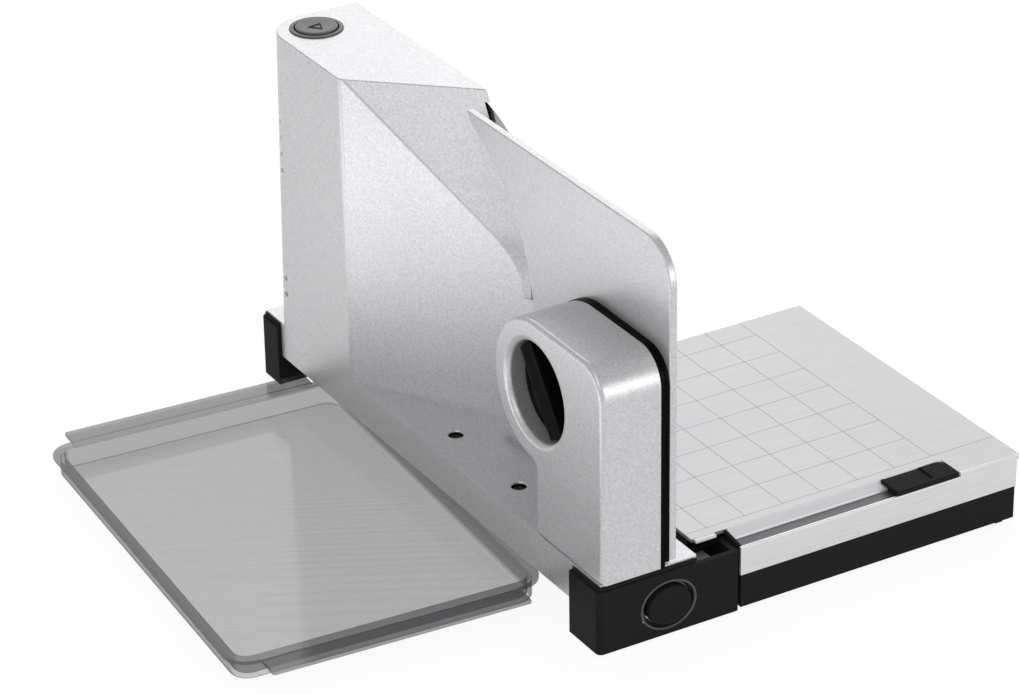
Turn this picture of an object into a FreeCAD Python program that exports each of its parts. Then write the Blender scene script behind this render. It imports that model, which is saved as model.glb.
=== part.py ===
import FreeCAD, Part
import math
import os
import re
import Sketcher
from FreeCAD import Placement, Rotation, Vector

# Domestic electric food slicer: a narrow base with a motor tower at the back, a round blade on
# the tower's right side, a stop plate with its dial housing at the front, a food carriage on the
# right and a loose slice tray on the left. Millimetres; X to the right, Y away from the operator,
# Z up from the worktop. The origin is on the worktop under the middle of the whole machine.

doc = FreeCAD.newDocument("FoodSlicer")
sheet = doc.addObject("Spreadsheet::Sheet", "Sizes")

SIZES = {
    # place of the base's left front corner in the frame
    "left_x": -40.73,
    "front_y": -157.1,
    # feet and table
    "pad_height": 2.0,
    "pad_radius": 6.0,
    "foot_length": 73.4,
    "foot_height": 31.6,
    "foot_wall": 2.4,
    "front_foot_depth": 23.5,
    "rear_foot_depth": 17.5,
    "base_depth": 317.0,
    "table_inset": 1.9,
    "table_right": 52.0,
    "table_thickness": 2.3,
    "skirt_drop": 16.7,
    "skirt_thickness": 1.2,
    "table_hole_x": 17.3,
    "table_hole_y": 96.2,
    "table_hole_pitch": 57.4,
    "table_hole_radius": 3.6,
    "channel_left": 52.4,
    "channel_right": 70.4,
    "channel_floor": 13.5,
    "channel_wall": 2.6,
    "carrier_depth": 9.0,
    "carrier_inset": 1.0,
    "carrier_wall": 3.0,
    "rail_left": 60.0,
    "rail_width": 6.0,
    "rail_height": 12.0,
    "rail_end_gap": 4.0,
    # tower
    "tower_left": 2.0,
    "tower_right": 52.5,
    "tower_back": 303.8,
    "tower_front_left": 226.0,
    "tower_front_right": 136.0,
    "tower_height": 156.8,
    "tower_wall": 2.5,
    "tower_corner": 13.0,
    "deflector_edge": 50.5,
    "deflector_top": 181.5,
    "deflector_radius": 61.5,
    "vent_height": 2.4,
    "vent_pitch": 8.7,
    "vent_top": 146.9,
    "vent_low": 53.4,
    "vent_reach": 24.0,
    "side_wall_left": 46.6,
    "side_wall_thickness": 2.4,
    "boss_depth": 12.0,
    "front_boss_depth": 7.0,
    "boss_low": 12.0,
    "boss_drop": 14.0,
    "boss_set_back": 11.0,
    "boss_rim": 1.0,
    "screw_end_gap": 2.0,
    "wall_gap": 0.3,
    # blade and its drive
    "blade_y": 200.5,
    "blade_z": 103.9,
    "blade_radius": 85.0,
    "blade_left": 51.3,
    "blade_thickness": 1.2,
    "blade_room": 1.5,
    "blade_gap": 0.8,
    "hub_radius": 18.0,
    "hub_bore": 8.0,
    "lock_radius": 15.0,
    "lock_height": 3.6,
    "shaft_radius": 5.0,
    "fit_gap": 0.05,
    "bush_radius": 8.0,
    "gear_module": 1.0,
    "drive_teeth": 32,
    "pinion_teeth": 12,
    "wheel_teeth": 24,
    "gear_width": 5.0,
    "drive_gear_left": 40.3,
    "wheel_left": 23.0,
    "lay_radius": 3.0,
    "gear_plate_left": 34.0,
    "left_plate": 15.5,
    "gear_plate_thickness": 2.5,
    "worm_pitch_radius": 5.0,
    "worm_length": 20.0,
    "motor_radius": 20.0,
    "motor_low": 124.0,
    "motor_top_gap": 8.2,
    "motor_wall": 1.5,
    "rotor_gap": 0.6,
    "end_cap_height": 8.0,
    # push buttons
    "top_button_x": 21.1,
    "top_button_y": 285.5,
    "bezel_radius": 13.05,
    "bezel_wall": 2.3,
    "bezel_stand": 0.7,
    "bezel_depth": 6.0,
    "button_gap": 0.3,
    "button_stand": 1.4,
    "button_travel": 3.0,
    "button_height": 8.0,
    "stem_radius": 3.0,
    "spring_radius": 5.0,
    "spring_wire": 0.8,
    "switch_width": 20.0,
    "switch_depth": 10.0,
    "switch_height": 14.0,
    "front_button_x": 36.1,
    "front_button_z": 16.7,
    "front_bezel_radius": 13.4,
    # stop plate and its adjuster
    "block_left": 2.0,
    "block_right": 32.2,
    "block_back": 55.6,
    "block_top": 140.2,
    "block_shoulder": 16.0,
    "block_wall": 2.6,
    "head_y": 56.0,
    "head_z": 106.0,
    "head_radius": 34.4,
    "recess_radius": 23.5,
    "recess_depth": 14.0,
    "recess_chamfer": 2.6,
    "plate_thickness": 2.0,
    "plate_gap": 0.2,
    "fence_thickness": 3.9,
    "fence_lift": 2.7,
    "fence_top": 189.9,
    "fence_tip": 170.8,
    "fence_corner": 20.0,
    "fence_gap": 2.0,
    "fence_clearance": 0.5,
    "dial_gap": 0.5,
    "dial_set_in": 3.0,
    "dial_thickness": 4.0,
    "dial_grip_width": 12.0,
    "dial_grip_turn": 36.0,
    "spindle_radius": 4.5,
    "sleeve_wall": 2.6,
    "sleeve_length": 15.0,
    "rod_radius": 3.0,
    "rod_y": 15.0,
    "rod_low_z": 60.0,
    "rod_high_z": 122.0,
    "rod_length": 24.0,
    "guide_block_depth": 11.0,
    "guide_block_width": 12.0,
    # food carriage
    "deck_left": 57.0,
    "deck_right": 227.4,
    "deck_front": 14.0,
    "deck_depth": 164.0,
    "deck_thickness": 1.6,
    "gutter_left": 75.8,
    "gutter_right": 193.5,
    "rail_lip": 6.5,
    "lip_thickness": 1.2,
    "fascia_left": 74.0,
    "fascia_right": 226.0,
    "fascia_bottom": 19.3,
    "fascia_top": 33.7,
    "fascia_thickness": 1.4,
    "band_bottom": 2.7,
    "frame_wall": 3.0,
    "gutter_floor": 21.3,
    "shoe_left": 57.6,
    "shoe_right": 68.8,
    "shoe_bottom": 16.0,
    "shoe_front": 18.0,
    "shoe_length": 150.0,
    "slide_gap": 0.3,
    "glide_width": 4.0,
    "glide_length": 16.0,
    "glide_height": 8.7,
    "slider_length": 34.2,
    "slider_stand": 1.5,
    "strip_front": 10.2,
    # slice tray
    "tray_middle_x": -63.0,
    "tray_rear_gap": 147.2,
    "tray_turn": -3.5,
    "tray_length": 154.0,
    "tray_width": 223.0,
    "tray_height": 11.0,
    "tray_wall": 2.0,
    "tray_floor": 1.6,
    "tray_corner": 9.0,
    "tray_rim": 3.2,
    "flange_reach": 11.5,
    "flange_inset": 14.0,
    "flange_thickness": 1.6,
    # small hardware
    "screw_radius": 1.5,
    "screw_head_radius": 2.8,
    "screw_head_height": 1.6,
    "gland_radius": 6.5,
    "gland_bore": 3.2,
    "gland_length": 14.0,
    "gland_z": 50.0,
}

for row, (alias, value) in enumerate(SIZES.items(), start=1):
    sheet.set(f"A{row}", alias)
    sheet.set(f"B{row}", str(value))
    sheet.setAlias(f"B{row}", alias)
doc.recompute()

PIECES = []


# Sizes and expressions

def linked(text):
    """The expression with every size name pointing at the sheet."""
    return re.sub(r"[a-z_]+", lambda found: ("Sizes." if found.group(0) in SIZES else "") + found.group(0), text)


def size(text):
    """The present value of an expression of size names."""
    return float(sheet.evalExpression(linked(text)))


def bind(thing, prop, text):
    thing.setExpression(prop, linked(text))


def place(thing, x, y, z, turn=None):
    """Place a thing by expressions measured from the base's left front corner on the worktop."""
    if turn is not None:
        thing.Placement = Placement(Vector(), turn)
    bind(thing, "Placement.Base.x", f"left_x + {x}")
    bind(thing, "Placement.Base.y", f"front_y + {y}")
    bind(thing, "Placement.Base.z", f"{z}")
    return thing


def keep(thing, label):
    """Name a finished sub-part; the name is its file's name."""
    thing.Label = label
    PIECES.append(thing)
    return thing


# Plain solids and their combinations

ALONG_X = Rotation(Vector(0, 1, 0), 90)
ALONG_Y = Rotation(Vector(1, 0, 0), -90)
ALONG_Z = Rotation()
TO_LEFT = Rotation(Vector(0, 1, 0), -90)
DOWN = Rotation(Vector(1, 0, 0), 180)


def box(x, y, z, length, width, height):
    thing = doc.addObject("Part::Box", "Box")
    bind(thing, "Length", length)
    bind(thing, "Width", width)
    bind(thing, "Height", height)
    return place(thing, x, y, z)


def rod(along, x, y, z, radius, length):
    thing = doc.addObject("Part::Cylinder", "Rod")
    bind(thing, "Radius", radius)
    bind(thing, "Height", length)
    return place(thing, x, y, z, along)


def cone(along, x, y, z, start_radius, end_radius, length):
    thing = doc.addObject("Part::Cone", "Cone")
    bind(thing, "Radius1", start_radius)
    bind(thing, "Radius2", end_radius)
    bind(thing, "Height", length)
    return place(thing, x, y, z, along)


def tube(along, x, y, z, radius, bore, length):
    return cut(rod(along, x, y, z, radius, length), rod(along, x, y, z, bore, length))


def fuse(*parts):
    thing = doc.addObject("Part::MultiFuse", "Union")
    thing.Shapes = list(parts)
    thing.Refine = True
    return thing


def cut(base, *tools):
    thing = doc.addObject("Part::Cut", "Cut")
    thing.Base = base
    thing.Tool = tools[0] if len(tools) == 1 else fuse(*tools)
    thing.Refine = True
    return thing


def common(first, second):
    thing = doc.addObject("Part::Common", "Common")
    thing.Base = first
    thing.Tool = second
    return thing


def group(*parts):
    """Several separate solids that share one node."""
    thing = doc.addObject("Part::Compound", "Group")
    thing.Links = list(parts)
    return thing


# Bodies from sketches

def plane_of(body, role):
    return next(feature for feature in body.Origin.OriginFeatures if feature.Role == role)


def new_body(name, x, y, z):
    body = doc.addObject("PartDesign::Body", name)
    return place(body, x, y, z)


def new_sketch(body, role, lift):
    sketch = body.newObject("Sketcher::SketchObject", body.Name + "_sketch")
    sketch.AttachmentSupport = [(plane_of(body, role), "")]
    sketch.MapMode = "FlatFace"
    bind(sketch, "AttachmentOffset.Base.z", lift)
    return sketch


def hold(sketch, kind, first, point, text):
    """Hold one coordinate of a sketch point at an expression's value."""
    index = sketch.addConstraint(Sketcher.Constraint(kind, -1, 1, first, point, size(text)))
    bind(sketch, f"Constraints[{index}]", text)


def polygon(sketch, corners):
    """Closed outline through corners given as pairs of expressions."""
    points = [Vector(size(across), size(up), 0) for across, up in corners]
    first = sketch.GeometryCount
    for index, point in enumerate(points):
        sketch.addGeometry(Part.LineSegment(point, points[(index + 1) % len(points)]), False)
    for index in range(len(points)):
        after = first + (index + 1) % len(points)
        sketch.addConstraint(Sketcher.Constraint("Coincident", first + index, 2, after, 1))
    for index, (across, up) in enumerate(corners):
        hold(sketch, "DistanceX", first + index, 1, across)
        hold(sketch, "DistanceY", first + index, 1, up)


def circle(sketch, across, up, radius):
    centre = Vector(size(across), size(up), 0)
    index = sketch.addGeometry(Part.Circle(centre, Vector(0, 0, 1), size(radius)), False)
    hold(sketch, "DistanceX", index, 3, across)
    hold(sketch, "DistanceY", index, 3, up)
    held = sketch.addConstraint(Sketcher.Constraint("Radius", index, size(radius)))
    bind(sketch, f"Constraints[{held}]", radius)


def draw(sketch, outline):
    if outline[0] == "circle":
        circle(sketch, *outline[1:])
    else:
        polygon(sketch, outline)


def pad(body, role, outline, depth, lift="0"):
    """Add material from the lifted plane along its normal."""
    sketch = new_sketch(body, role, lift)
    draw(sketch, outline)
    feature = body.newObject("PartDesign::Pad", body.Name + "_pad")
    feature.Profile = sketch
    bind(feature, "Length", depth)
    body.Tip = feature
    doc.recompute()
    return feature


def pocket(body, role, outline, depth, lift="0"):
    """Cut from the lifted plane along its normal, and make sure that something was cut."""
    before = body.Shape.Volume
    sketch = new_sketch(body, role, lift)
    draw(sketch, outline)
    feature = body.newObject("PartDesign::Pocket", body.Name + "_pocket")
    feature.Profile = sketch
    feature.Reversed = True
    bind(feature, "Length", depth)
    body.Tip = feature
    doc.recompute()
    if body.Shape.Volume > before - 0.01:
        raise RuntimeError(f"a pocket of {body.Name} cuts nothing")
    return feature


def dress(body, kind, amount, wanted):
    """Fillet or chamfer the edges for which wanted(edge) is true."""
    names = [f"Edge{number}" for number, edge in enumerate(body.Tip.Shape.Edges, start=1) if wanted(edge)]
    if not names:
        raise RuntimeError(f"no edge of {body.Name} to dress")
    feature = body.newObject("PartDesign::" + kind, body.Name + "_" + kind.lower())
    feature.Base = (body.Tip if body.Tip != feature else feature.BaseFeature, names)
    bind(feature, "Radius" if kind == "Fillet" else "Size", amount)
    body.Tip = feature
    doc.recompute()
    return feature


def runs(edge, direction):
    """Whether a straight edge runs along a direction."""
    if edge.Curve.TypeId != "Part::GeomLine":
        return False
    along = edge.Vertexes[1].Point - edge.Vertexes[0].Point
    return abs(abs(along.normalize().dot(direction)) - 1) < 1e-6


def at(edge, **wanted):
    """Whether an edge's middle lies at the given coordinates of its own body."""
    middle = edge.BoundBox.Center
    return all(abs(getattr(middle, axis) - value) < 0.02 for axis, value in wanted.items())


X = Vector(1, 0, 0)
Y = Vector(0, 1, 0)
Z = Vector(0, 0, 1)


# Hardware

def screw(along, x, y, z, length, head_first=True):
    """A pan head screw along an axis, starting at its head's outer face."""
    head = rod(along, x, y, z, "screw_head_radius", "screw_head_height")
    shank = rod(along, x, y, z, "screw_radius", length)
    return fuse(head, shank)


def blade_room():
    """The disc of room that the blade needs around it."""
    return rod(ALONG_X, "blade_left - blade_gap", "blade_y", "blade_z", "blade_radius + blade_room", "4")


# Feet and table

TABLE_TOP = "(pad_height + foot_height + table_thickness)"
FOOT_TOP = "(pad_height + foot_height)"
REAR_FOOT = "(base_depth - rear_foot_depth)"


def foot_shell(start, depth):
    """A foot cap, hollow from below, with the carriage's guide channel open at the top."""
    outer = box("0", start, "pad_height", "foot_length", depth, "foot_height")
    hollow = box("foot_wall", f"{start} + foot_wall", "pad_height",
                 "channel_left - 2 * foot_wall", f"{depth} - 2 * foot_wall", "foot_height - foot_wall")
    return outer, hollow


def make_feet():
    outer, hollow = foot_shell("0", "front_foot_depth")
    channel = box("channel_left", "channel_wall", "channel_floor",
                  "channel_right - channel_left", "front_foot_depth", "foot_height + pad_height")
    button_hole = rod(ALONG_Y, "front_button_x", "-1", "front_button_z",
                      "front_bezel_radius - bezel_wall / 2", "foot_wall + 2")
    keep(cut(outer, hollow, channel, button_hole), "front_foot")
    outer, hollow = foot_shell(REAR_FOOT, "rear_foot_depth")
    channel = box("channel_left", f"{REAR_FOOT} - 1", "channel_floor",
                  "channel_right - channel_left", "rear_foot_depth + 2", "foot_height + pad_height")
    keep(cut(outer, hollow, channel), "rear_foot")
    pads = []
    for x in ("pad_radius + 3", "foot_length - pad_radius - 3"):
        for y in ("pad_radius + 3", "base_depth - pad_radius - 3"):
            pads.append(rod(ALONG_Z, x, y, "0", "pad_radius", "pad_height"))
    keep(group(*pads), "foot_pads")


def make_table():
    plate = box("table_inset", "table_inset / 2", FOOT_TOP,
                "table_right - table_inset", "base_depth - 1.5 * table_inset", "table_thickness")
    span = f"({REAR_FOOT} - front_foot_depth)"
    skirt = box("table_inset", "front_foot_depth", f"{FOOT_TOP} - skirt_drop",
                "skirt_thickness", span, "skirt_drop")
    holes = []
    for number in range(2):
        y = f"table_hole_y + {number} * table_hole_pitch"
        holes.append(rod(ALONG_Z, "table_hole_x", y, f"{FOOT_TOP} - 1", "table_hole_radius",
                         "table_thickness + 2"))
    keep(cut(fuse(plate, skirt), blade_room(), *holes), "base_table")
    # a shallow ribbed frame stiffens the plate and takes its screws
    left = "(table_inset + skirt_thickness + carrier_inset)"
    right = "(table_right - carrier_inset)"
    low = f"({FOOT_TOP} - carrier_depth)"
    block = box(left, "front_foot_depth", low, f"{right} - {left}", span, "carrier_depth")
    bay = f"(({span} - 5 * carrier_wall) / 4)"
    bays = []
    for number in range(4):
        y = f"front_foot_depth + carrier_wall + {number} * ({bay} + carrier_wall)"
        bays.append(box(f"{left} + carrier_wall", y, low, f"{right} - {left} - 2 * carrier_wall",
                        bay, "carrier_depth - carrier_wall"))
    screws = []
    threads = []
    for number in range(2):
        y = f"table_hole_y + {number} * table_hole_pitch"
        top = f"{FOOT_TOP} + screw_head_height"
        screws.append(screw(DOWN, "table_hole_x", y, top, "screw_head_height + carrier_wall"))
        threads.append(rod(ALONG_Z, "table_hole_x", y, f"{FOOT_TOP} - carrier_wall", "screw_radius",
                           "carrier_wall"))
    keep(cut(block, *bays, *threads), "table_carrier")
    keep(group(*screws), "table_screws")
    rail = box("rail_left", "channel_wall + rail_end_gap", "channel_floor", "rail_width",
               "base_depth - channel_wall - 2 * rail_end_gap", "rail_height")
    keep(rail, "guide_rail")


# Tower

def front_wall_y(x, inward="0"):
    """Y of the slanted front wall, moved inward by a distance measured square to the wall."""
    run = "(tower_right - tower_left)"
    rise = "(tower_front_left - tower_front_right)"
    lean = f"sqrt({run} * {run} + {rise} * {rise}) / {run}"
    return f"(tower_front_left - {rise} / {run} * ({x} - tower_left) + ({inward}) * {lean})"


def tower_prism(inward, right, low, height, name):
    """The tower's plan as a prism, set in all round by a distance."""
    body = new_body(name, "0", "0", low)
    left = f"(tower_left + {inward})"
    back = f"(tower_back - {inward})"
    outline = [(left, front_wall_y(left, inward)), (right, front_wall_y(right, inward)),
               (right, back), (left, back)]
    pad(body, "XY_Plane", outline, height)
    dress(body, "Fillet", f"tower_corner - {inward}",
          lambda edge: runs(edge, Z) and at(edge, x=size(left), y=size(back)))
    return body


def deflector_wedge(inward):
    """What the deflector takes off the slanted wall.

    Its right edge comes down straight from the tower's top onto a circle about the blade, and the face runs
    level from that edge to the tower's front left corner.
    """
    # the wall's thickness seen along the blade's plane
    radius = size("deflector_radius") - 1.35 * size(inward)
    shift = size("deflector_radius") - radius
    centre = Vector(size("left_x + deflector_edge"), size("front_y + blade_y"), size("blade_z"))
    top = Vector(centre.x, size("front_y + deflector_top"), size(f"{TABLE_TOP} + tower_height"))
    to_top = top - centre
    touch = math.atan2(to_top.z, to_top.y) + math.acos(size("deflector_radius") / to_top.Length)

    def on_circle(angle):
        return centre + Vector(0, radius * math.cos(angle), radius * math.sin(angle))

    square = Vector(0, math.cos(touch), math.sin(touch))
    climb = Vector(0, math.sin(touch), -math.cos(touch))
    above = top - square * shift + climb * 30
    low = on_circle(math.pi)
    far = -2 * size("deflector_radius")
    outline = [Part.makeLine(above, on_circle(touch)),
               Part.Arc(on_circle(touch), on_circle((touch + math.pi) / 2), low).toShape(),
               Part.makeLine(low, low + Vector(0, far, 0)),
               Part.makeLine(low + Vector(0, far, 0), Vector(centre.x, low.y + far, above.z)),
               Part.makeLine(Vector(centre.x, low.y + far, above.z), above)]
    along = Vector(size("left_x + tower_left"), size("front_y + tower_front_left"), top.z) - top
    face = Part.Face(Part.Wire(outline))
    face.translate(along * -0.2)
    thing = doc.addObject("Part::Feature", "DeflectorWedge")
    thing.Shape = face.extrude(along * 1.6)
    return thing


def fence_room():
    """What the closed stop plate needs of the slanted wall's foot, in front of the blade's room."""
    start = "(tower_right - fence_thickness - fence_clearance)"
    reach = "(fence_thickness + fence_clearance + 1)"
    corner = box(start, "head_y", f"{TABLE_TOP} - 1", reach, "blade_y - head_y",
                 f"blade_z - {TABLE_TOP} + 1")
    kept = rod(ALONG_X, f"{start} - 1", "blade_y", "blade_z", "blade_radius + fence_gap - fence_clearance",
               f"{reach} + 2")
    return cut(corner, kept)


def make_tower():
    outer = tower_prism("0", "tower_right", TABLE_TOP, "tower_height", "TowerOuter")
    inner = tower_prism("tower_wall", "(tower_right + 1)", TABLE_TOP, "tower_height - tower_wall",
                        "TowerInner")
    button_hole = rod(ALONG_Z, "top_button_x", "top_button_y", f"{TABLE_TOP} + tower_height - tower_wall - 1",
                      "bezel_radius - bezel_wall / 2", "tower_wall + 2")
    gland_hole = rod(ALONG_Y, "tower_left + 20", "tower_back - tower_wall - 1", "gland_z",
                     "gland_radius - 2", "tower_wall + 2")
    vents = []
    for number in range(4):
        vents.append(box("tower_left - 1", "top_button_y + 3", f"vent_top - {number} * vent_pitch",
                         "vent_reach", "30", "vent_height"))
    for number in range(2):
        vents.append(box("tower_left - 1", "top_button_y + 3", f"vent_low + {number} * vent_pitch",
                         "vent_reach", "30", "vent_height"))
    whole = cut(outer, deflector_wedge("0"))
    hollow = cut(inner, deflector_wedge("tower_wall"))
    shell = cut(whole, hollow, blade_room(), fence_room(), button_hole, gland_hole, *vents)
    # the black wall between the gears and the blade
    front = front_wall_y("side_wall_left", "tower_wall + wall_gap")
    back = "(tower_back - tower_wall - wall_gap)"
    plan = tower_prism("(tower_wall + wall_gap)", "(tower_right + 1)", TABLE_TOP,
                       "tower_height - tower_wall - wall_gap", "SideWallPlan")
    slab = box("side_wall_left", "0", TABLE_TOP, "side_wall_thickness", "base_depth", "tower_height")
    reach = "(screw_head_radius + boss_rim)"
    rear = f"({back} + 2 * wall_gap - {reach})"
    screw_spots = [(rear, f"{TABLE_TOP} + boss_low", "boss_depth"),
                   (rear, f"{TABLE_TOP} + tower_height - tower_wall - wall_gap - boss_drop", "boss_depth"),
                   (f"({front} + boss_set_back)", f"{TABLE_TOP} + boss_low", "front_boss_depth")]
    screws = []
    bosses = []
    threads = []
    holes = [rod(ALONG_X, "side_wall_left - 1", "blade_y", "blade_z", "bush_radius", "side_wall_thickness + 2")]
    for y, z, depth in screw_spots:
        holes.append(rod(ALONG_X, "side_wall_left - 1", y, z, "screw_radius", "side_wall_thickness + 2"))
        head = "side_wall_left + side_wall_thickness + screw_head_height"
        screws.append(screw(TO_LEFT, head, y, z, f"screw_head_height + side_wall_thickness + {depth} - screw_end_gap"))
        bosses.append(rod(ALONG_X, f"side_wall_left - {depth}", y, z, reach, depth))
        threads.append(rod(ALONG_X, f"side_wall_left - {depth} + screw_end_gap", y, z, "screw_radius",
                           f"{depth} - screw_end_gap"))
    panel = cut(common(slab, plan), deflector_wedge("tower_wall + wall_gap"), *holes)
    keep(panel, "blade_side_wall")
    keep(group(*screws), "side_wall_screws")
    keep(cut(fuse(shell, common(whole, fuse(*bosses))), *threads), "tower_shell")


def make_gland():
    body = tube(ALONG_Y, "tower_left + 20", "tower_back - tower_wall", "gland_z",
                "gland_radius - 2.2", "gland_bore", "gland_length - 2")
    collar = tube(ALONG_Y, "tower_left + 20", "tower_back + 0.1", "gland_z",
                  "gland_radius", "gland_bore", "3")
    keep(fuse(body, collar), "cord_gland")


# Gears

def gear_shape(teeth, width, bore, phase):
    """Straight toothed gear along +X about its own origin, with slim teeth for running clearance."""
    module = size("gear_module")
    pitch = teeth * module / 2
    root = pitch - 1.3 * module
    tip = pitch + 0.9 * module
    step = 2 * math.pi / teeth
    points = []
    for tooth in range(teeth):
        middle = phase + tooth * step
        for radius, half in ((root, 0.29), (tip, 0.11)):
            points.append((radius, middle - half * step))
        for radius, half in ((tip, 0.11), (root, 0.29)):
            points.append((radius, middle + half * step))
    ring = [Vector(0, radius * math.cos(angle), radius * math.sin(angle)) for radius, angle in points]
    ring.append(ring[0])
    solid = Part.Face(Part.makePolygon(ring)).extrude(Vector(width, 0, 0))
    hole = Part.makeCylinder(bore, width + 2, Vector(-1, 0, 0), Vector(1, 0, 0))
    return solid.cut(hole)


def gear(label, teeth, width, bore, phase, x, y, z):
    thing = doc.addObject("Part::Feature", "Gear")
    thing.Shape = gear_shape(int(size(teeth)), size(width), size(bore), phase)
    place(thing, x, y, z)
    return keep(thing, label)


LAY_Y = "(blade_y + (drive_teeth + pinion_teeth) * gear_module / 2)"
WORM_Y = f"({LAY_Y} + wheel_teeth * gear_module / 2 + worm_pitch_radius)"
WORM_X = "(wheel_left + gear_width / 2)"
MOTOR_HEIGHT = f"({TABLE_TOP} + tower_height - tower_wall - motor_top_gap - end_cap_height - motor_low)"


def worm_shape():
    """One start right hand worm about +Z from its own origin, its thread facing the wheel at mid height."""
    module = size("gear_module")
    pitch = math.pi * module
    middle = size("worm_pitch_radius")
    length = size("worm_length")
    root = middle - 1.2 * module
    tip = middle + 0.9 * module
    turns = math.floor((length - 2) / pitch)
    height = turns * pitch
    # the wheel faces the worm's front, a quarter turn before the helix closes
    start = length / 2 - height / 2
    offset = (start + 0.75 * pitch - length / 2) % pitch
    start -= offset if start - offset > 0.9 else offset - pitch
    height = math.floor((length - 0.9 - start) / pitch) * pitch
    helix = Part.makeHelix(pitch, height, middle)
    inner = root - 0.4
    profile = Part.makePolygon([Vector(inner, 0, -0.62), Vector(tip, 0, -0.24), Vector(tip, 0, 0.24),
                                Vector(inner, 0, 0.62), Vector(inner, 0, -0.62)])
    thread = Part.Wire(helix.Edges).makePipeShell([profile], True, True)
    thread.translate(Vector(0, 0, start))
    core = Part.makeCylinder(root, length)
    return core.fuse(thread)


def make_gears():
    keep(rod(ALONG_X, "gear_plate_left - 0.4", "blade_y", "blade_z", "shaft_radius",
             "blade_left - gear_plate_left + 0.4"), "blade_shaft")
    gear("drive_gear", "drive_teeth", "gear_width", "shaft_radius", 0.0,
         "drive_gear_left", "blade_y", "blade_z")
    gear("lay_pinion", "pinion_teeth", "gear_width", "lay_radius", math.pi / size("pinion_teeth"),
         "drive_gear_left", LAY_Y, "blade_z")
    gear("worm_wheel", "wheel_teeth", "gear_width", "lay_radius", math.pi / size("wheel_teeth"),
         "wheel_left", LAY_Y, "blade_z")
    keep(rod(ALONG_X, "left_plate", LAY_Y, "blade_z", "lay_radius",
             "side_wall_left - left_plate - wall_gap"), "lay_shaft")
    worm = doc.addObject("Part::Feature", "Worm")
    bored = worm_shape().cut(Part.makeCylinder(2.0, size("worm_length") + 2, Vector(0, 0, -1)))
    worm.Shape = bored
    place(worm, WORM_X, WORM_Y, "blade_z - worm_length / 2")
    keep(worm, "worm")


def make_motor():
    can = cut(rod(ALONG_Z, WORM_X, WORM_Y, "motor_low", "motor_radius", MOTOR_HEIGHT),
              rod(ALONG_Z, WORM_X, WORM_Y, "motor_low + motor_wall", "motor_radius - motor_wall",
                  f"{MOTOR_HEIGHT} - 2 * motor_wall"),
              rod(ALONG_Z, WORM_X, WORM_Y, "motor_low - 1", "2 + fit_gap", f"{MOTOR_HEIGHT} + 2"))
    keep(can, "motor_can")
    magnets = cut(rod(ALONG_Z, WORM_X, WORM_Y, "motor_low + 6", "motor_radius - motor_wall", f"{MOTOR_HEIGHT} - 14"),
                  rod(ALONG_Z, WORM_X, WORM_Y, "motor_low + 5", "motor_radius - motor_wall - 5", f"{MOTOR_HEIGHT} - 10"),
                  box(f"{WORM_X} - motor_radius", f"{WORM_Y} - 2", "motor_low", "2 * motor_radius", "4", MOTOR_HEIGHT))
    keep(magnets, "motor_magnets")
    rotor = fuse(rod(ALONG_Z, WORM_X, WORM_Y, "blade_z - worm_length / 2 - 13.5", "2",
                     f"motor_low + {MOTOR_HEIGHT} - blade_z + worm_length / 2 + 15.5"),
                 rod(ALONG_Z, WORM_X, WORM_Y, "motor_low + 7", "motor_radius - motor_wall - 5 - rotor_gap",
                     f"{MOTOR_HEIGHT} - 18"))
    keep(rotor, "armature")
    cap = cut(rod(ALONG_Z, WORM_X, WORM_Y, f"motor_low + {MOTOR_HEIGHT}", "motor_radius - 1", "end_cap_height"),
              rod(ALONG_Z, WORM_X, WORM_Y, f"motor_low + {MOTOR_HEIGHT} - 1", "2 + rotor_gap", "end_cap_height - 2"))
    keep(cap, "motor_end_cap")
    # one frame carries the shafts and the motor, and stands on the table behind the gears
    right = "(side_wall_left - wall_gap)"
    back = f"({WORM_Y} + 12)"
    low = "(blade_z - worm_length / 2 - 14)"
    middle = box("gear_plate_left", "blade_y - 8", low, "gear_plate_thickness", f"{back} - blade_y + 8",
                 f"motor_low - {low}")
    left = box("left_plate", f"{LAY_Y} - 7", low, "gear_plate_thickness", f"{back} - {LAY_Y} + 7",
               f"motor_low - {low}")
    room = box("left_plate - 1", f"{LAY_Y} + 6", "blade_z - 9", "gear_plate_left - left_plate",
               f"{back} - {LAY_Y}", "18")
    bridge = box("left_plate", f"{LAY_Y} - 7", low, "gear_plate_left - left_plate + 1",
                 f"{back} - {LAY_Y} + 7", "3")
    shelf = box(f"{WORM_X} - motor_radius + 1", f"{LAY_Y} + 3", "motor_low - 3",
                f"{right} - {WORM_X} + motor_radius - 1", f"{back} - {LAY_Y} - 3", "3")
    foot = box("left_plate", f"{back} - 4", TABLE_TOP, f"{right} - left_plate", "4", f"{low} - {TABLE_TOP} + 1")
    base = box("left_plate", f"{back} - 18", TABLE_TOP, f"{right} - left_plate", "18", "3")
    frame = cut(fuse(cut(left, room), middle, bridge, shelf, foot, base),
                rod(ALONG_Z, WORM_X, WORM_Y, f"{low} - 1", "2 + fit_gap", "6"),
                rod(ALONG_Z, WORM_X, WORM_Y, "motor_low - 5", "2 + rotor_gap", "8"),
                rod(ALONG_X, "left_plate - 1", LAY_Y, "blade_z", "lay_radius + fit_gap", f"{right}"),
                rod(ALONG_X, "gear_plate_left - 1", "blade_y", "blade_z", "shaft_radius + fit_gap", "8"))
    keep(frame, "gear_frame")
    bush = fuse(tube(ALONG_X, "side_wall_left - 1", "blade_y", "blade_z", "bush_radius",
                     "shaft_radius + fit_gap", "side_wall_thickness + 1"),
                tube(ALONG_X, "side_wall_left - 1", "blade_y", "blade_z", "bush_radius + 2",
                     "shaft_radius + fit_gap", "1"))
    keep(bush, "blade_bush")


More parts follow.
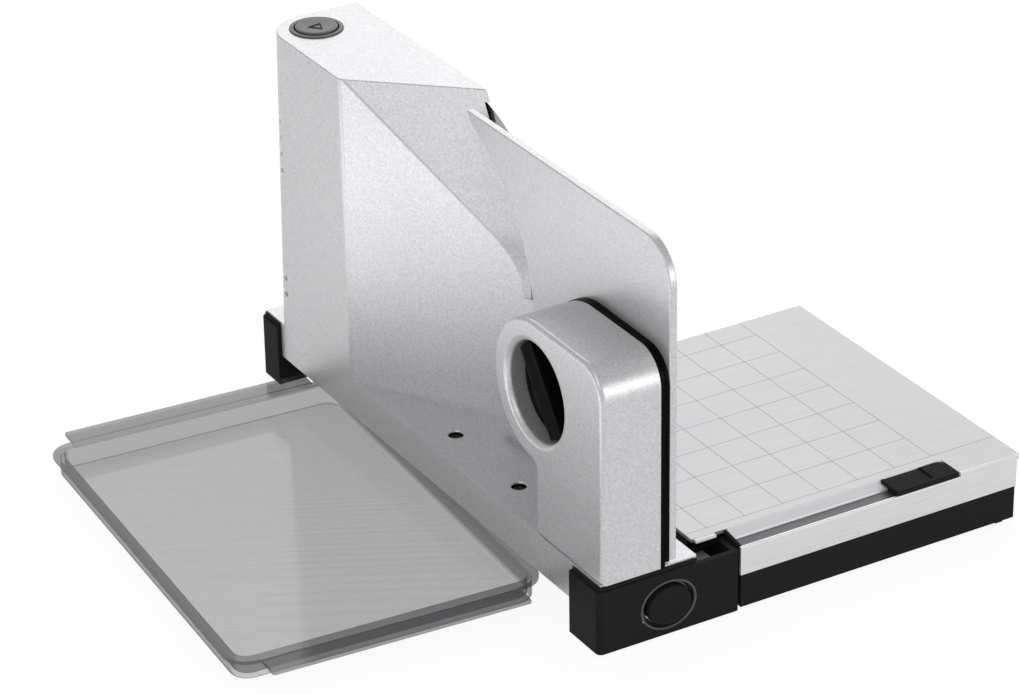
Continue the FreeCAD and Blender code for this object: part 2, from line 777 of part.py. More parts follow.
def make_blade():
    hub_start = "(side_wall_left + side_wall_thickness + wall_gap)"
    keep(tube(ALONG_X, hub_start, "blade_y", "blade_z", "hub_radius", "shaft_radius",
              f"blade_left - {hub_start}"), "blade_hub")
    bevel = cone(ALONG_X, "blade_left", "blade_y", "blade_z", "blade_radius - 3", "blade_radius", "blade_thickness")
    disc = rod(ALONG_X, "blade_left", "blade_y", "blade_z", "blade_radius - 3", "blade_thickness")
    keep(cut(fuse(bevel, disc), rod(ALONG_X, "blade_left - 1", "blade_y", "blade_z", "hub_bore", "4")), "blade")
    seat = rod(ALONG_X, "blade_left", "blade_y", "blade_z", "hub_bore - fit_gap", "blade_thickness")
    face = cone(ALONG_X, "blade_left + blade_thickness", "blade_y", "blade_z", "lock_radius",
                "lock_radius - 3", "lock_height - 1.4")
    grip = common(box("blade_left + blade_thickness", "blade_y - lock_radius", "blade_z - 3",
                      "lock_height", "2 * lock_radius", "6"),
                  rod(ALONG_X, "blade_left", "blade_y", "blade_z", "lock_radius - 2", "10"))
    keep(fuse(seat, face, grip), "blade_lock")


# Push buttons

def ring_spring(along, x, y, z, radius, length):
    """A compression spring as its outer sleeve."""
    return tube(along, x, y, z, radius, f"{radius} - spring_wire", length)


def make_top_button():
    top = f"({TABLE_TOP} + tower_height)"
    x = "top_button_x"
    y = "top_button_y"
    bore = "(bezel_radius - bezel_wall)"
    collar = tube(ALONG_Z, x, y, top, "bezel_radius", bore, "bezel_stand")
    sleeve = tube(ALONG_Z, x, y, f"{top} - bezel_depth", "bezel_radius - bezel_wall / 2 - 0.1", bore,
                  "bezel_depth")
    keep(fuse(collar, sleeve), "top_bezel")
    radius = "(bezel_radius - bezel_wall - button_gap)"
    head_low = f"({top} + button_stand - button_height)"
    cap = cut(rod(ALONG_Z, x, y, head_low, radius, "button_height"),
              rod(ALONG_Z, x, y, f"{head_low} - 1", f"{radius} - 2", "button_height - 1"))
    stem = rod(ALONG_Z, x, y, f"{head_low} - 4", "stem_radius", "button_height + 2")
    keep(fuse(cap, stem), "top_button")
    switch_top = f"({head_low} - 4 - button_travel - 0.3)"
    keep(ring_spring(ALONG_Z, x, y, switch_top, "spring_radius",
                     f"{head_low} + button_height - 2 - {switch_top}"), "top_button_spring")
    keep(box(f"{x} - switch_width / 2", f"{y} - switch_depth / 2", f"{switch_top} - switch_height",
             "switch_width", "switch_depth", "switch_height"), "top_switch")
    bracket = box(f"{x} - switch_width / 4", f"{y} + switch_depth / 2", f"{switch_top} - switch_height",
                  "switch_width * 3 / 4", f"tower_back - tower_wall - {y} - switch_depth / 2", "switch_height")
    keep(bracket, "switch_bracket")


def make_front_button():
    x = "front_button_x"
    z = "front_button_z"
    bore = "(front_bezel_radius - bezel_wall)"
    collar = tube(ALONG_Y, x, "-bezel_stand", z, "front_bezel_radius", bore, "bezel_stand")
    sleeve = tube(ALONG_Y, x, "0", z, "front_bezel_radius - bezel_wall / 2 - 0.1", bore, "bezel_depth - 1")
    keep(fuse(collar, sleeve), "front_bezel")
    radius = "(front_bezel_radius - bezel_wall - button_gap)"
    cap = cut(rod(ALONG_Y, x, "-2 * button_stand", z, radius, "button_height"),
              rod(ALONG_Y, x, "-2 * button_stand + 2", z, f"{radius} - 2", "button_height"))
    stem = rod(ALONG_Y, x, "-2 * button_stand + 1", z, "stem_radius", "button_height")
    keep(fuse(cap, stem), "front_button")
    stem_end = "(button_height + 1 - 2 * button_stand)"
    switch_start = f"({stem_end} + button_travel + 0.3)"
    keep(ring_spring(ALONG_Y, x, "2 - 2 * button_stand", z, "spring_radius",
                     f"{switch_start} - 2 + 2 * button_stand"), "front_button_spring")
    keep(box(f"{x} - switch_width / 2", switch_start, f"{z} - switch_height / 2", "switch_width",
             f"front_foot_depth - foot_wall - {switch_start}", "switch_height"), "front_switch")


# Adjuster and stop plate

def head_outline_pad(body, depth, grow, lift="0", low=TABLE_TOP):
    """The housing's side outline: a straight front part with a round head at the back."""
    front = f"(0 - {grow})"
    back = f"(block_back + {grow})"
    top = f"(block_top + {grow})"
    pad(body, "YZ_Plane", [(front, low), (back, low), (back, "head_z"), ("head_y", top), (front, top)],
        depth, lift)
    pad(body, "YZ_Plane", ("circle", "head_y", "head_z", f"head_radius + {grow}"), depth, lift)
    dress(body, "Fillet", f"block_shoulder + {grow}",
          lambda edge: runs(edge, X) and at(edge, y=size(front), z=size(top)))


def make_adjuster():
    shell = new_body("BlockShell", "block_left", "0", "0")
    head_outline_pad(shell, "block_right - block_left", "0")
    hollow = "(block_right - block_left - block_wall)"
    pocket(shell, "YZ_Plane", [("block_wall", f"{TABLE_TOP} + block_wall"),
                               ("block_back - block_wall", f"{TABLE_TOP} + block_wall"),
                               ("block_back - block_wall", "block_top - block_wall"),
                               ("block_shoulder", "block_top - block_wall"),
                               ("block_wall", "block_top - block_shoulder")],
           hollow, "block_wall")
    pocket(shell, "YZ_Plane", ("circle", "head_y", "head_z", "head_radius - block_wall"), hollow, "block_wall")
    pad(shell, "YZ_Plane", ("circle", "head_y", "head_z", "recess_radius + block_wall"),
        "recess_depth + block_wall")
    pocket(shell, "YZ_Plane", ("circle", "head_y", "head_z", "recess_radius"), "recess_depth")
    pocket(shell, "YZ_Plane", ("circle", "head_y", "head_z", "spindle_radius + fit_gap"),
           "block_wall", "recess_depth")
    dress(shell, "Chamfer", "recess_chamfer",
          lambda edge: edge.Curve.TypeId == "Part::GeomCircle" and at(edge, x=0)
          and abs(edge.Curve.Radius - size("recess_radius")) < 0.01)
    keep(shell, "adjuster_housing")
    plate = new_body("BackPlate", "block_right", "0", "0")
    head_outline_pad(plate, "plate_thickness", "0.4")
    rods = (("rod_y", "rod_low_z"), ("rod_y", "rod_high_z"))
    sleeve = "(spindle_radius + fit_gap + sleeve_wall)"
    for y, z in rods:
        pocket(plate, "YZ_Plane", ("circle", y, z, "rod_radius + slide_gap"), "plate_thickness")
    pocket(plate, "YZ_Plane", ("circle", "head_y", "head_z", f"{sleeve} + slide_gap"), "plate_thickness")
    keep(plate, "adjuster_back_plate")
    guide = new_body("GuideBlock", "block_right - guide_block_depth", "0", "0")
    half = "guide_block_width / 2"
    pad(guide, "YZ_Plane", [(f"rod_y - {half}", f"rod_low_z - {half}"), (f"rod_y + {half}", f"rod_low_z - {half}"),
                            (f"rod_y + {half}", f"rod_high_z + {half}"), (f"rod_y - {half}", f"rod_high_z + {half}")],
        "guide_block_depth")
    for y, z in rods:
        pocket(guide, "YZ_Plane", ("circle", y, z, "rod_radius + fit_gap"), "guide_block_depth")
    keep(guide, "rod_guide")
    carrier = new_body("FenceCarrier", "block_right + plate_thickness + plate_gap", "0", "0")
    head_outline_pad(carrier, "plate_thickness", "0.4", low=f"({TABLE_TOP} + fence_lift)")
    keep(carrier, "fence_carrier")
    inner_end = "(block_right + plate_thickness + plate_gap)"
    rod_pieces = [rod(ALONG_X, f"{inner_end} - rod_length", y, z, "rod_radius", "rod_length") for y, z in rods]
    keep(group(*rod_pieces), "fence_rods")
    keep(tube(ALONG_X, f"{inner_end} - sleeve_length", "head_y", "head_z", sleeve,
              "spindle_radius + fit_gap", "sleeve_length"), "fence_nut")
    make_fence(f"({inner_end} + plate_thickness)")
    make_dial(inner_end)


def make_fence(start):
    fence = new_body("FencePlate", start, "0", "0")
    low = f"({TABLE_TOP} + fence_lift)"
    outline = [("0.3", low), ("fence_tip", low), ("fence_tip - 4.4", "fence_top - 6"),
               ("fence_tip", "fence_top"), ("0.3", "fence_top")]
    pad(fence, "YZ_Plane", outline, "fence_thickness")
    pocket(fence, "YZ_Plane", ("circle", "blade_y", "blade_z", "blade_radius + fence_gap"), "fence_thickness")
    dress(fence, "Fillet", "fence_corner",
          lambda edge: runs(edge, X) and at(edge, y=0.3, z=size("fence_top")))
    dress(fence, "Fillet", "0.8",
          lambda edge: at(edge, x=0) and abs(edge.BoundBox.ZMax - size("fence_top")) < 0.01)
    keep(fence, "fence_plate")


def make_dial(inner_end):
    face = "(block_left + dial_set_in)"
    disc_start = "(block_left + recess_depth - dial_gap - dial_thickness)"
    disc = rod(ALONG_X, disc_start, "head_y", "head_z", "recess_radius - dial_gap", "dial_thickness")
    bar = doc.addObject("Part::Box", "Grip")
    bind(bar, "Length", f"{disc_start} - {face} + 1")
    bind(bar, "Width", "dial_grip_width")
    bind(bar, "Height", "2 * recess_radius")
    bar.Placement = Placement(Vector(), Rotation(Vector(1, 0, 0), -size("dial_grip_turn")))
    bind(bar, "Placement.Base.x", f"left_x + {face}")
    bind(bar, "Placement.Base.y",
         "front_y + head_y - dial_grip_width / 2 * cos(dial_grip_turn) - recess_radius * sin(dial_grip_turn)")
    bind(bar, "Placement.Base.z",
         "head_z + dial_grip_width / 2 * sin(dial_grip_turn) - recess_radius * cos(dial_grip_turn)")
    grip = common(bar, rod(ALONG_X, face, "head_y", "head_z", "recess_radius - dial_gap", "recess_depth"))
    bore = rod(ALONG_X, f"{disc_start} + 1", "head_y", "head_z", "spindle_radius - 1", "dial_thickness")
    keep(cut(fuse(disc, grip), bore), "dial_knob")
    spindle = fuse(rod(ALONG_X, f"{disc_start} + 1", "head_y", "head_z", "spindle_radius - 1", "dial_thickness"),
                   rod(ALONG_X, f"{disc_start} + dial_thickness", "head_y", "head_z", "spindle_radius",
                       f"{inner_end} - wall_gap - {disc_start} - dial_thickness"))
    keep(spindle, "dial_spindle")


# Food carriage

DECK_TOP = TABLE_TOP
DECK_LOW = f"({TABLE_TOP} - deck_thickness)"
DECK_BACK = "(deck_front + deck_depth)"


def make_carriage():
    sheet_top = box("deck_left", "deck_front", DECK_LOW, "deck_right - deck_left", "deck_depth", "deck_thickness")
    corner = box("gutter_right", "-0.4", DECK_LOW, "deck_right - gutter_right", "deck_front + 1.4", "deck_thickness")
    lip = box("gutter_left", "deck_front", f"{DECK_TOP} - rail_lip", "gutter_right - gutter_left",
              "lip_thickness", "rail_lip")
    side = box("fascia_right - lip_thickness", "fascia_thickness - 0.4", "fascia_bottom", "lip_thickness",
               f"{DECK_BACK} - fascia_thickness + 0.4", f"{DECK_TOP} - fascia_bottom")
    keep(fuse(sheet_top, corner, lip, side), "carriage_deck")
    keep(box("fascia_left", "-0.4", "fascia_bottom", "fascia_right - fascia_left", "fascia_thickness",
             "fascia_top - fascia_bottom"), "carriage_fascia")
    inner_right = "(fascia_right - lip_thickness - frame_wall)"
    band = box("fascia_left + 0.4", "0", "band_bottom", "fascia_right - fascia_left - 0.8", "frame_wall",
               "fascia_bottom - band_bottom")
    right = box(inner_right, "frame_wall", "band_bottom", "frame_wall", f"{DECK_BACK} - frame_wall",
                f"{DECK_LOW} - band_bottom")
    left = box("fascia_left + 0.4", "deck_front + lip_thickness", "fascia_bottom", "frame_wall",
               f"{DECK_BACK} - deck_front - lip_thickness", f"{DECK_LOW} - fascia_bottom")
    rear = box("fascia_left + 0.4", f"{DECK_BACK} - frame_wall", "fascia_bottom",
               f"{inner_right} - fascia_left", "frame_wall", f"{DECK_LOW} - fascia_bottom")
    floor = box("fascia_left + 0.4", "fascia_thickness - 0.4", "fascia_bottom",
                f"{inner_right} - fascia_left", "deck_front - fascia_thickness + 0.4 + lip_thickness + frame_wall",
                "gutter_floor - fascia_bottom")
    wall = box("gutter_left", "deck_front + lip_thickness", "gutter_floor", f"{inner_right} - gutter_left + 1",
               "frame_wall", f"{DECK_LOW} - gutter_floor")
    ribs = []
    for number in range(1, 4):
        ribs.append(box("fascia_left + 0.4", f"deck_front + {number} * deck_depth / 4", "fascia_bottom + 4",
                        f"{inner_right} - fascia_left", "frame_wall", f"{DECK_LOW} - fascia_bottom - 4"))
    keep(fuse(band, right, left, rear, floor, wall, *ribs), "carriage_frame")
    keep(box("fascia_left + 0.2", "fascia_thickness - 0.4", "gutter_floor", "gutter_left - fascia_left - 0.2",
             "deck_front - fascia_thickness + 0.4", f"{DECK_TOP} - gutter_floor - 0.4"), "gutter_end_cap")
    shoe = cut(box("shoe_left", "shoe_front", "shoe_bottom", "shoe_right - shoe_left", "shoe_length",
                   f"{DECK_LOW} - shoe_bottom"),
               box("rail_left - slide_gap", "shoe_front - 1", "shoe_bottom - 1", "rail_width + 2 * slide_gap",
                   "shoe_length + 2", "channel_floor + rail_height + slide_gap - shoe_bottom + 1"))
    keep(shoe, "guide_shoe")
    keep(box("deck_left + 1", "strip_front", f"{DECK_LOW} - 3", "channel_right - deck_left - 2",
             "deck_front - strip_front", "3 + deck_thickness - 0.4"), "channel_cover")
    glides = [box(f"{inner_right} - glide_width", y, "0", "glide_width", "glide_length", "glide_height")
              for y in ("frame_wall", f"{DECK_BACK} - glide_length")]
    keep(group(*glides), "carriage_glides")
    make_slider()


def make_slider():
    x = "(gutter_right - wall_gap - slider_length)"
    body = box(x, "fascia_thickness - 0.4 + slide_gap", "gutter_floor + slide_gap", "slider_length",
               "deck_front - fascia_thickness + 0.4 - 2 * slide_gap", f"{DECK_TOP} - gutter_floor")
    lip = box(x, "-0.4", f"fascia_top + slide_gap", "slider_length", "deck_front + 0.1 - slide_gap",
              f"{DECK_TOP} - fascia_top")
    groove = box(f"{x} + slider_length * 0.62", "1.5", f"{DECK_TOP} - 0.6", "1.2", "deck_front - 4", "5")
    keep(cut(fuse(body, lip), groove), "gutter_slider")


# Slice tray

TRAY_Y = "(base_depth - tray_rear_gap)"


def rounded_slab(length, width, height, corner, low, name):
    """A slab with rounded upright corners, turned about the tray's middle."""
    body = doc.addObject("PartDesign::Body", name)
    pad(body, "XY_Plane", [("0", "0"), (length, "0"), (length, width), ("0", width)], height)
    dress(body, "Fillet", corner, lambda edge: runs(edge, Z))
    side = f"(({length}) / 2)"
    end = f"(({width}) / 2)"
    return place(body, f"tray_middle_x - {side} * cos(tray_turn) + {end} * sin(tray_turn)",
                 f"{TRAY_Y} - {side} * sin(tray_turn) - {end} * cos(tray_turn)", low,
                 Rotation(Z, size("tray_turn")))


def make_tray():
    wall = "(2 * tray_rim + 2 * tray_wall)"
    outer = rounded_slab("tray_length - 2 * tray_rim", "tray_width - 2 * tray_rim", "tray_height",
                         "tray_corner", "0", "TrayOuter")
    rim = rounded_slab("tray_length", "tray_width", "flange_thickness", "tray_corner + tray_rim",
                       "tray_height - flange_thickness", "TrayRim")
    flange = rounded_slab("tray_length - 2 * flange_inset", "tray_width + 2 * flange_reach",
                          "flange_thickness", "1.5", "tray_height - flange_thickness - 0.6", "TrayFlange")
    inner = rounded_slab(f"tray_length - {wall}", f"tray_width - {wall}", "tray_height",
                         "tray_corner - tray_wall", "tray_floor", "TrayInner")
    keep(cut(fuse(outer, rim, flange), inner), "slice_tray")


make_feet()
make_table()
make_tower()
make_gland()
make_gears()
make_motor()
make_blade()
make_top_button()
make_front_button()
make_adjuster()
make_carriage()
make_tray()
doc.recompute()

for thing in doc.Objects:
    if "Invalid" in thing.State or "Error" in thing.State:
        raise RuntimeError(f"{thing.Name} ({thing.Label}) failed: {thing.State}")
os.makedirs("parts", exist_ok=True)
for piece in PIECES:
    shape = piece.Shape
    if shape.isNull() or not shape.isValid() or not shape.Solids:
        raise RuntimeError(f"{piece.Label} has no valid solid")
for piece in PIECES:
    piece.Shape.exportStep(f"parts/{piece.Label}.step")
print(len(PIECES), "pieces")
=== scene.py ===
"""A household food slicer with its stop plate, food carriage and slice tray, dressed for the camera.

Lengths inside the classes are millimetres from the base's left front corner on the worktop; meshes are
written in metres in the part's own frame.
"""
import logging
import math
from dataclasses import dataclass
from enum import Enum

import bmesh
import bpy
from mathutils import Matrix, Vector


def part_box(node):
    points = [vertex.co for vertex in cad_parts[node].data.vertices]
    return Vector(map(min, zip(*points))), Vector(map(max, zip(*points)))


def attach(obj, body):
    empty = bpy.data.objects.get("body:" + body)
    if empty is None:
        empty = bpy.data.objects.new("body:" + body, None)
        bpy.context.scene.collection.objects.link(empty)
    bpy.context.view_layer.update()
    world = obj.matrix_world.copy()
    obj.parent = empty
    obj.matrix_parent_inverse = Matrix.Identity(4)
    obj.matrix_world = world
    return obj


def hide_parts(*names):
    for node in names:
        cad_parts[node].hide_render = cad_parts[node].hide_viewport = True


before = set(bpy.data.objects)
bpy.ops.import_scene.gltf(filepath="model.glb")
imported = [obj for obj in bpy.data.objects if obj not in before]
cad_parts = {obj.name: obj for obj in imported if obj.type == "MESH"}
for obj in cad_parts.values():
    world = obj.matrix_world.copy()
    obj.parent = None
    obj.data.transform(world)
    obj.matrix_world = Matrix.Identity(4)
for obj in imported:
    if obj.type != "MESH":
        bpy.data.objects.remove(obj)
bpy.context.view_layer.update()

LEFT, FRONT = (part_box("front_foot")[0][axis] * 1000 for axis in range(2))
LOG = logging.getLogger("slicer")
BLADE_CENTRE = (200.5, 103.9)
ROOM_RADIUS = 86.5
GRAIN_RANGE = (0.3, 0.7)
FLAKES_PER_METRE = 1500.0
Pair = tuple[float, float]
Triple = tuple[float, float, float]
Corners = tuple[float, float, float, float]
Outline = list[Pair]
Socket = bpy.types.NodeSocket


class Axis(Enum):
    """The direction along which an outline is extruded or a profile turned."""

    X = 0
    Y = 1
    Z = 2

    def point(self, across: float, up: float, along: float) -> Vector:
        """Turn a place in a drawing into a point of the frame.

        Args:
            across: The drawing's first coordinate.
            up: Its second coordinate.
            along: Place along the axis.

        Returns:
            The point in metres.
        """
        x, y, z = {Axis.X: (along, across, up), Axis.Y: (across, along, up), Axis.Z: (across, up, along)}[self]
        return Vector(((x + LEFT) / 1000, (y + FRONT) / 1000, z / 1000))


# Outlines


def arc(centre: Pair, radius: float, start: float, end: float, steps: int = 24) -> Outline:
    """Points along an arc.

    Args:
        centre: Centre in the drawing.
        radius: Radius in millimetres.
        start: Angle of the first point in degrees.
        end: Angle of the last point in degrees.
        steps: Number of chords.

    Returns:
        The points in order.
    """
    angles = [math.radians(start + (end - start) * step / steps) for step in range(steps + 1)]
    return [(centre[0] + radius * math.cos(a), centre[1] + radius * math.sin(a)) for a in angles]


def rounded(corners: list[Triple], steps: int = 8) -> Outline:
    """An outline whose corners are rounded, each by its own radius.

    Args:
        corners: Across, up and radius of each corner.
        steps: Chords in each rounding.

    Returns:
        The outline's points.
    """
    points: Outline = []
    for index, (across, up, radius) in enumerate(corners):
        here = Vector((across, up))
        to_last = (Vector(corners[index - 1][:2]) - here).normalized()
        to_next = (Vector(corners[(index + 1) % len(corners)][:2]) - here).normalized()
        half = math.acos(max(-1.0, min(1.0, to_last.dot(to_next)))) / 2
        if radius <= 0 or abs(half - math.pi / 2) < 1e-4:
            points.append((across, up))
            continue
        middle = here + (to_last + to_next).normalized() * (radius / math.sin(half))
        reach = radius / math.tan(half)
        first, last = here + to_last * reach - middle, here + to_next * reach - middle
        turn = first.angle_signed(last)
        for step in range(steps + 1):
            points.append(tuple(middle + Matrix.Rotation(-turn * step / steps, 2) @ first))
    return points


def box_outline(left: float, low: float, right: float, high: float, *radii: float) -> Outline:
    """A rectangle with sharp or rounded corners.

    Args:
        left: Its first side across.
        low: Its first side upwards.
        right: Its other side across.
        high: Its other side upwards.
        radii: Nothing, one radius for all corners, or four of them from (left, low) by way of (right, low).

    Returns:
        The outline's points.
    """
    places = ((left, low), (right, low), (right, high), (left, high))
    each = radii if len(radii) == len(places) else (radii or (0.0,)) * len(places)
    return rounded([(*place, radius) for place, radius in zip(places, each)])


def inset(outline: Outline, distance: float) -> Outline:
    """Move an outline inwards, corner for corner.

    Args:
        outline: The outline.
        distance: How far each side moves.

    Returns:
        The smaller outline.
    """
    area = sum(a[0] * b[1] - b[0] * a[1] for a, b in zip(outline, outline[1:] + outline[:1]))
    side = 1 if area > 0 else -1
    moved = []
    for index, point in enumerate(outline):
        before = Vector(point) - Vector(outline[index - 1])
        after = Vector(outline[(index + 1) % len(outline)]) - Vector(point)
        normals = [Vector((-edge.y, edge.x)).normalized() * side for edge in (before, after)]
        bisector = normals[0] + normals[1]
        moved.append(tuple(Vector(point) + bisector * (distance * 2 / max(bisector.length_squared, 0.5))))
    return moved


# Meshes


def add_object(name: str, mesh: bmesh.types.BMesh) -> bpy.types.Object:
    """Put an edit mesh into the scene as it is.

    Args:
        name: Name of the object.
        mesh: The edit mesh; it is freed.

    Returns:
        The object, at the origin.
    """
    data = bpy.data.meshes.new(name)
    mesh.to_mesh(data)
    mesh.free()
    piece = bpy.data.objects.new(name, data)
    bpy.context.scene.collection.objects.link(piece)
    return piece


def bridged(name: str, rings: list[list[Vector]], ends: bool) -> bpy.types.Object:
    """Join rings of equally many points with faces.

    Args:
        name: Name of the object.
        rings: The rings in order, in metres.
        ends: Whether the first and the last ring are closed with a face.

    Returns:
        The object.
    """
    mesh = bmesh.new()
    rows = [[mesh.verts.new(point) for point in ring] for ring in rings]
    count = len(rows[0])
    for lower, upper in zip(rows, rows[1:]):
        for index in range(count):
            after = (index + 1) % count
            mesh.faces.new((lower[index], lower[after], upper[after], upper[index]))
    if ends:
        mesh.faces.new(rows[0])
        mesh.faces.new(rows[-1])
    else:
        bmesh.ops.dissolve_degenerate(mesh, dist=1e-7, edges=mesh.edges)
    bmesh.ops.remove_doubles(mesh, verts=mesh.verts, dist=1e-7)
    bmesh.ops.recalc_face_normals(mesh, faces=mesh.faces)
    return add_object(name, mesh)


def skinned(name: str, rings: list[list[Vector]]) -> bpy.types.Object:
    """A closed solid skinned over rings of equally many points, in metres."""
    return bridged(name, rings, True)


def prism(name: str, axis: Axis, outline: Outline, start: float, end: float, rim: float = 0.0,
          end_rim: float | None = None, steps: int = 4) -> bpy.types.Object:
    """An extruded outline whose two rims are rounded over.

    Args:
        name: Name of the object.
        axis: Direction of extrusion.
        outline: The section in the drawing plane.
        start: Place of the first end along the axis.
        end: Place of the second end along the axis.
        rim: Rounding of the first rim, and of the second too without end_rim.
        end_rim: Rounding of the second rim.
        steps: Chords in each rounding.

    Returns:
        The object.
    """
    sign = 1 if end > start else -1
    layers: list[Pair] = []
    for radius, place, way in ((rim, start, sign), (rim if end_rim is None else end_rim, end, -sign)):
        quarter = [math.pi / 2 * step / steps for step in range(steps + 1)]
        ring = [(place + way * radius * (1 - math.cos(a)), radius * (1 - math.sin(a))) for a in quarter]
        ring = ring if radius > 0 else [(place, 0.0)]
        layers += ring if way == sign else ring[::-1]
    sections = [(place, inset(outline, depth) if depth > 0 else outline) for place, depth in layers]
    return skinned(name, [[axis.point(across, up, place) for across, up in section] for place, section in sections])


def lathe(name: str, axis: Axis, centre: Pair, profile: Outline, steps: int = 72) -> bpy.types.Object:
    """A turned piece.

    Args:
        name: Name of the object.
        axis: The turning axis.
        centre: The axis's place in the drawing plane.
        profile: Radius and place along the axis, from one pole or inner edge round to the other.
        steps: Number of facets round the axis.

    Returns:
        The object, closed where the profile reaches the axis or meets itself.
    """
    angles = [2 * math.pi * step / steps for step in range(steps)]
    return bridged(name, [[axis.point(centre[0] + radius * math.cos(angle), centre[1] + radius * math.sin(angle),
                                      along) for angle in angles] for radius, along in profile], False)


def settle(piece: bpy.types.Object) -> bpy.types.Object:
    """Apply all modifiers of a piece to its mesh.

    Args:
        piece: The object.

    Returns:
        The same object.
    """
    graph = bpy.context.evaluated_depsgraph_get()
    graph.update()
    data = bpy.data.meshes.new_from_object(piece.evaluated_get(graph))
    piece.modifiers.clear()
    piece.data = data
    return piece


def combine(piece: bpy.types.Object, others: list[bpy.types.Object],
            operation: str = "DIFFERENCE") -> bpy.types.Object:
    """Cut away, add or keep the common part of other objects, which are used up.

    Args:
        piece: The object that is changed.
        others: The objects that change it.
        operation: DIFFERENCE, UNION or INTERSECT.

    Returns:
        The changed object.
    """
    for other in others:
        modifier = piece.modifiers.new("combine", "BOOLEAN")
        modifier.operation = operation
        modifier.object = other
        modifier.solver = "EXACT"
        settle(piece)
        bpy.data.objects.remove(other)
    return piece


def cleaned(piece: bpy.types.Object, angle: float) -> bmesh.types.BMesh:
    """An edit mesh of a piece without double points and without edges inside flat faces.

    Args:
        piece: The object.
        angle: Largest angle in degrees that counts as flat.

    Returns:
        The edit mesh.
    """
    mesh = bmesh.new()
    mesh.from_mesh(piece.data)
    bmesh.ops.remove_doubles(mesh, verts=mesh.verts, dist=2e-6)
    bmesh.ops.dissolve_limit(mesh, angle_limit=math.radians(angle), verts=mesh.verts, edges=mesh.edges)
    return mesh


def soften(piece: bpy.types.Object, width: float, angle: float = 40.0, steps: int = 3) -> bpy.types.Object:
    """Clean flat faces and round every edge sharper than an angle.

    Args:
        piece: The object.
        width: Width of the rounding in millimetres.
        angle: Smallest angle in degrees that is rounded.
        steps: Chords in the rounding.

    Returns:
        The same object.
    """
    mesh = cleaned(piece, 0.6)
    mesh.to_mesh(piece.data)
    mesh.free()
    modifier = piece.modifiers.new("soften", "BEVEL")
    modifier.width = width / 1000
    modifier.segments = steps
    modifier.limit_method = "ANGLE"
    modifier.angle_limit = math.radians(angle)
    modifier.use_clamp_overlap = True
    modifier.miter_outer = "MITER_ARC"
    return settle(piece)


def joined(name: str, pieces: list[bpy.types.Object]) -> bpy.types.Object:
    """Several objects as one, without merging their solids.

    Args:
        name: Name of the result.
        pieces: The objects; they are used up.

    Returns:
        The one object.
    """
    mesh = bmesh.new()
    for piece in pieces:
        mesh.from_mesh(piece.data)
        bpy.data.objects.remove(piece)
    return add_object(name, mesh)


def bore(name: str, axis: Axis, centre: Pair, radius: float, start: float, end: float,
         steps: int = 64) -> bpy.types.Object:
    """A plain round cutter.

    Args:
        name: Name of the object.
        axis: Its axis.
        centre: The axis's place in the drawing plane.
        radius: Radius of the hole.
        start: Place of one end along the axis.
        end: Place of the other end.
        steps: Number of facets.

    Returns:
        The object.
    """
    return lathe(name, axis, centre, [(0, start), (radius, start), (radius, end), (0, end)], steps)


def blade_room(name: str, near: float, far: float) -> bpy.types.Object:
    """The round room that the blade turns in, as a cutter between two places across the machine."""
    return bore(name, Axis.X, BLADE_CENTRE, ROOM_RADIUS, near, far, 180)


def coil(name: str, axis: Axis, centre: Pair, radius: float, span: Pair, turns: int) -> bpy.types.Object:
    """A compression spring.

    Args:
        name: Name of the object.
        axis: The spring's axis.
        centre: The axis's place in the drawing plane.
        radius: Mean radius of the coil.
        span: The two ends along the axis.
        turns: Number of turns.

    Returns:
        The object.
    """
    wire, steps, sides = 0.35, 20, 8
    rings = []
    for step in range(turns * steps + 1):
        angle = 2 * math.pi * step / steps
        along = span[0] + (span[1] - span[0]) * step / (turns * steps)
        ring = []
        for side in range(sides):
            slant = 2 * math.pi * side / sides
            reach = radius + wire * math.cos(slant)
            ring.append(axis.point(centre[0] + reach * math.cos(angle), centre[1] + reach * math.sin(angle),
                                   along + wire * math.sin(slant)))
        rings.append(ring)
    return skinned(name, rings)


# Finishes


def add_node(tree: bpy.types.NodeTree, kind: str, values: dict[str | int, object],
             sources: dict[str | int, Socket], **settings: str) -> bpy.types.Node:
    """Add a node to a tree.

    Args:
        tree: The material's or the modifier's node tree.
        kind: Type of the node.
        values: What its inputs are set to.
        sources: Sockets that are led to its inputs.
        settings: The node's own choices, made before its inputs are set.

    Returns:
        The node.
    """
    node = tree.nodes.new(kind)
    for key, setting in settings.items():
        setattr(node, key, setting)
    for key, value in values.items():
        node.inputs[key].default_value = value
    for key, socket in sources.items():
        tree.links.new(socket, node.inputs[key])
    return node


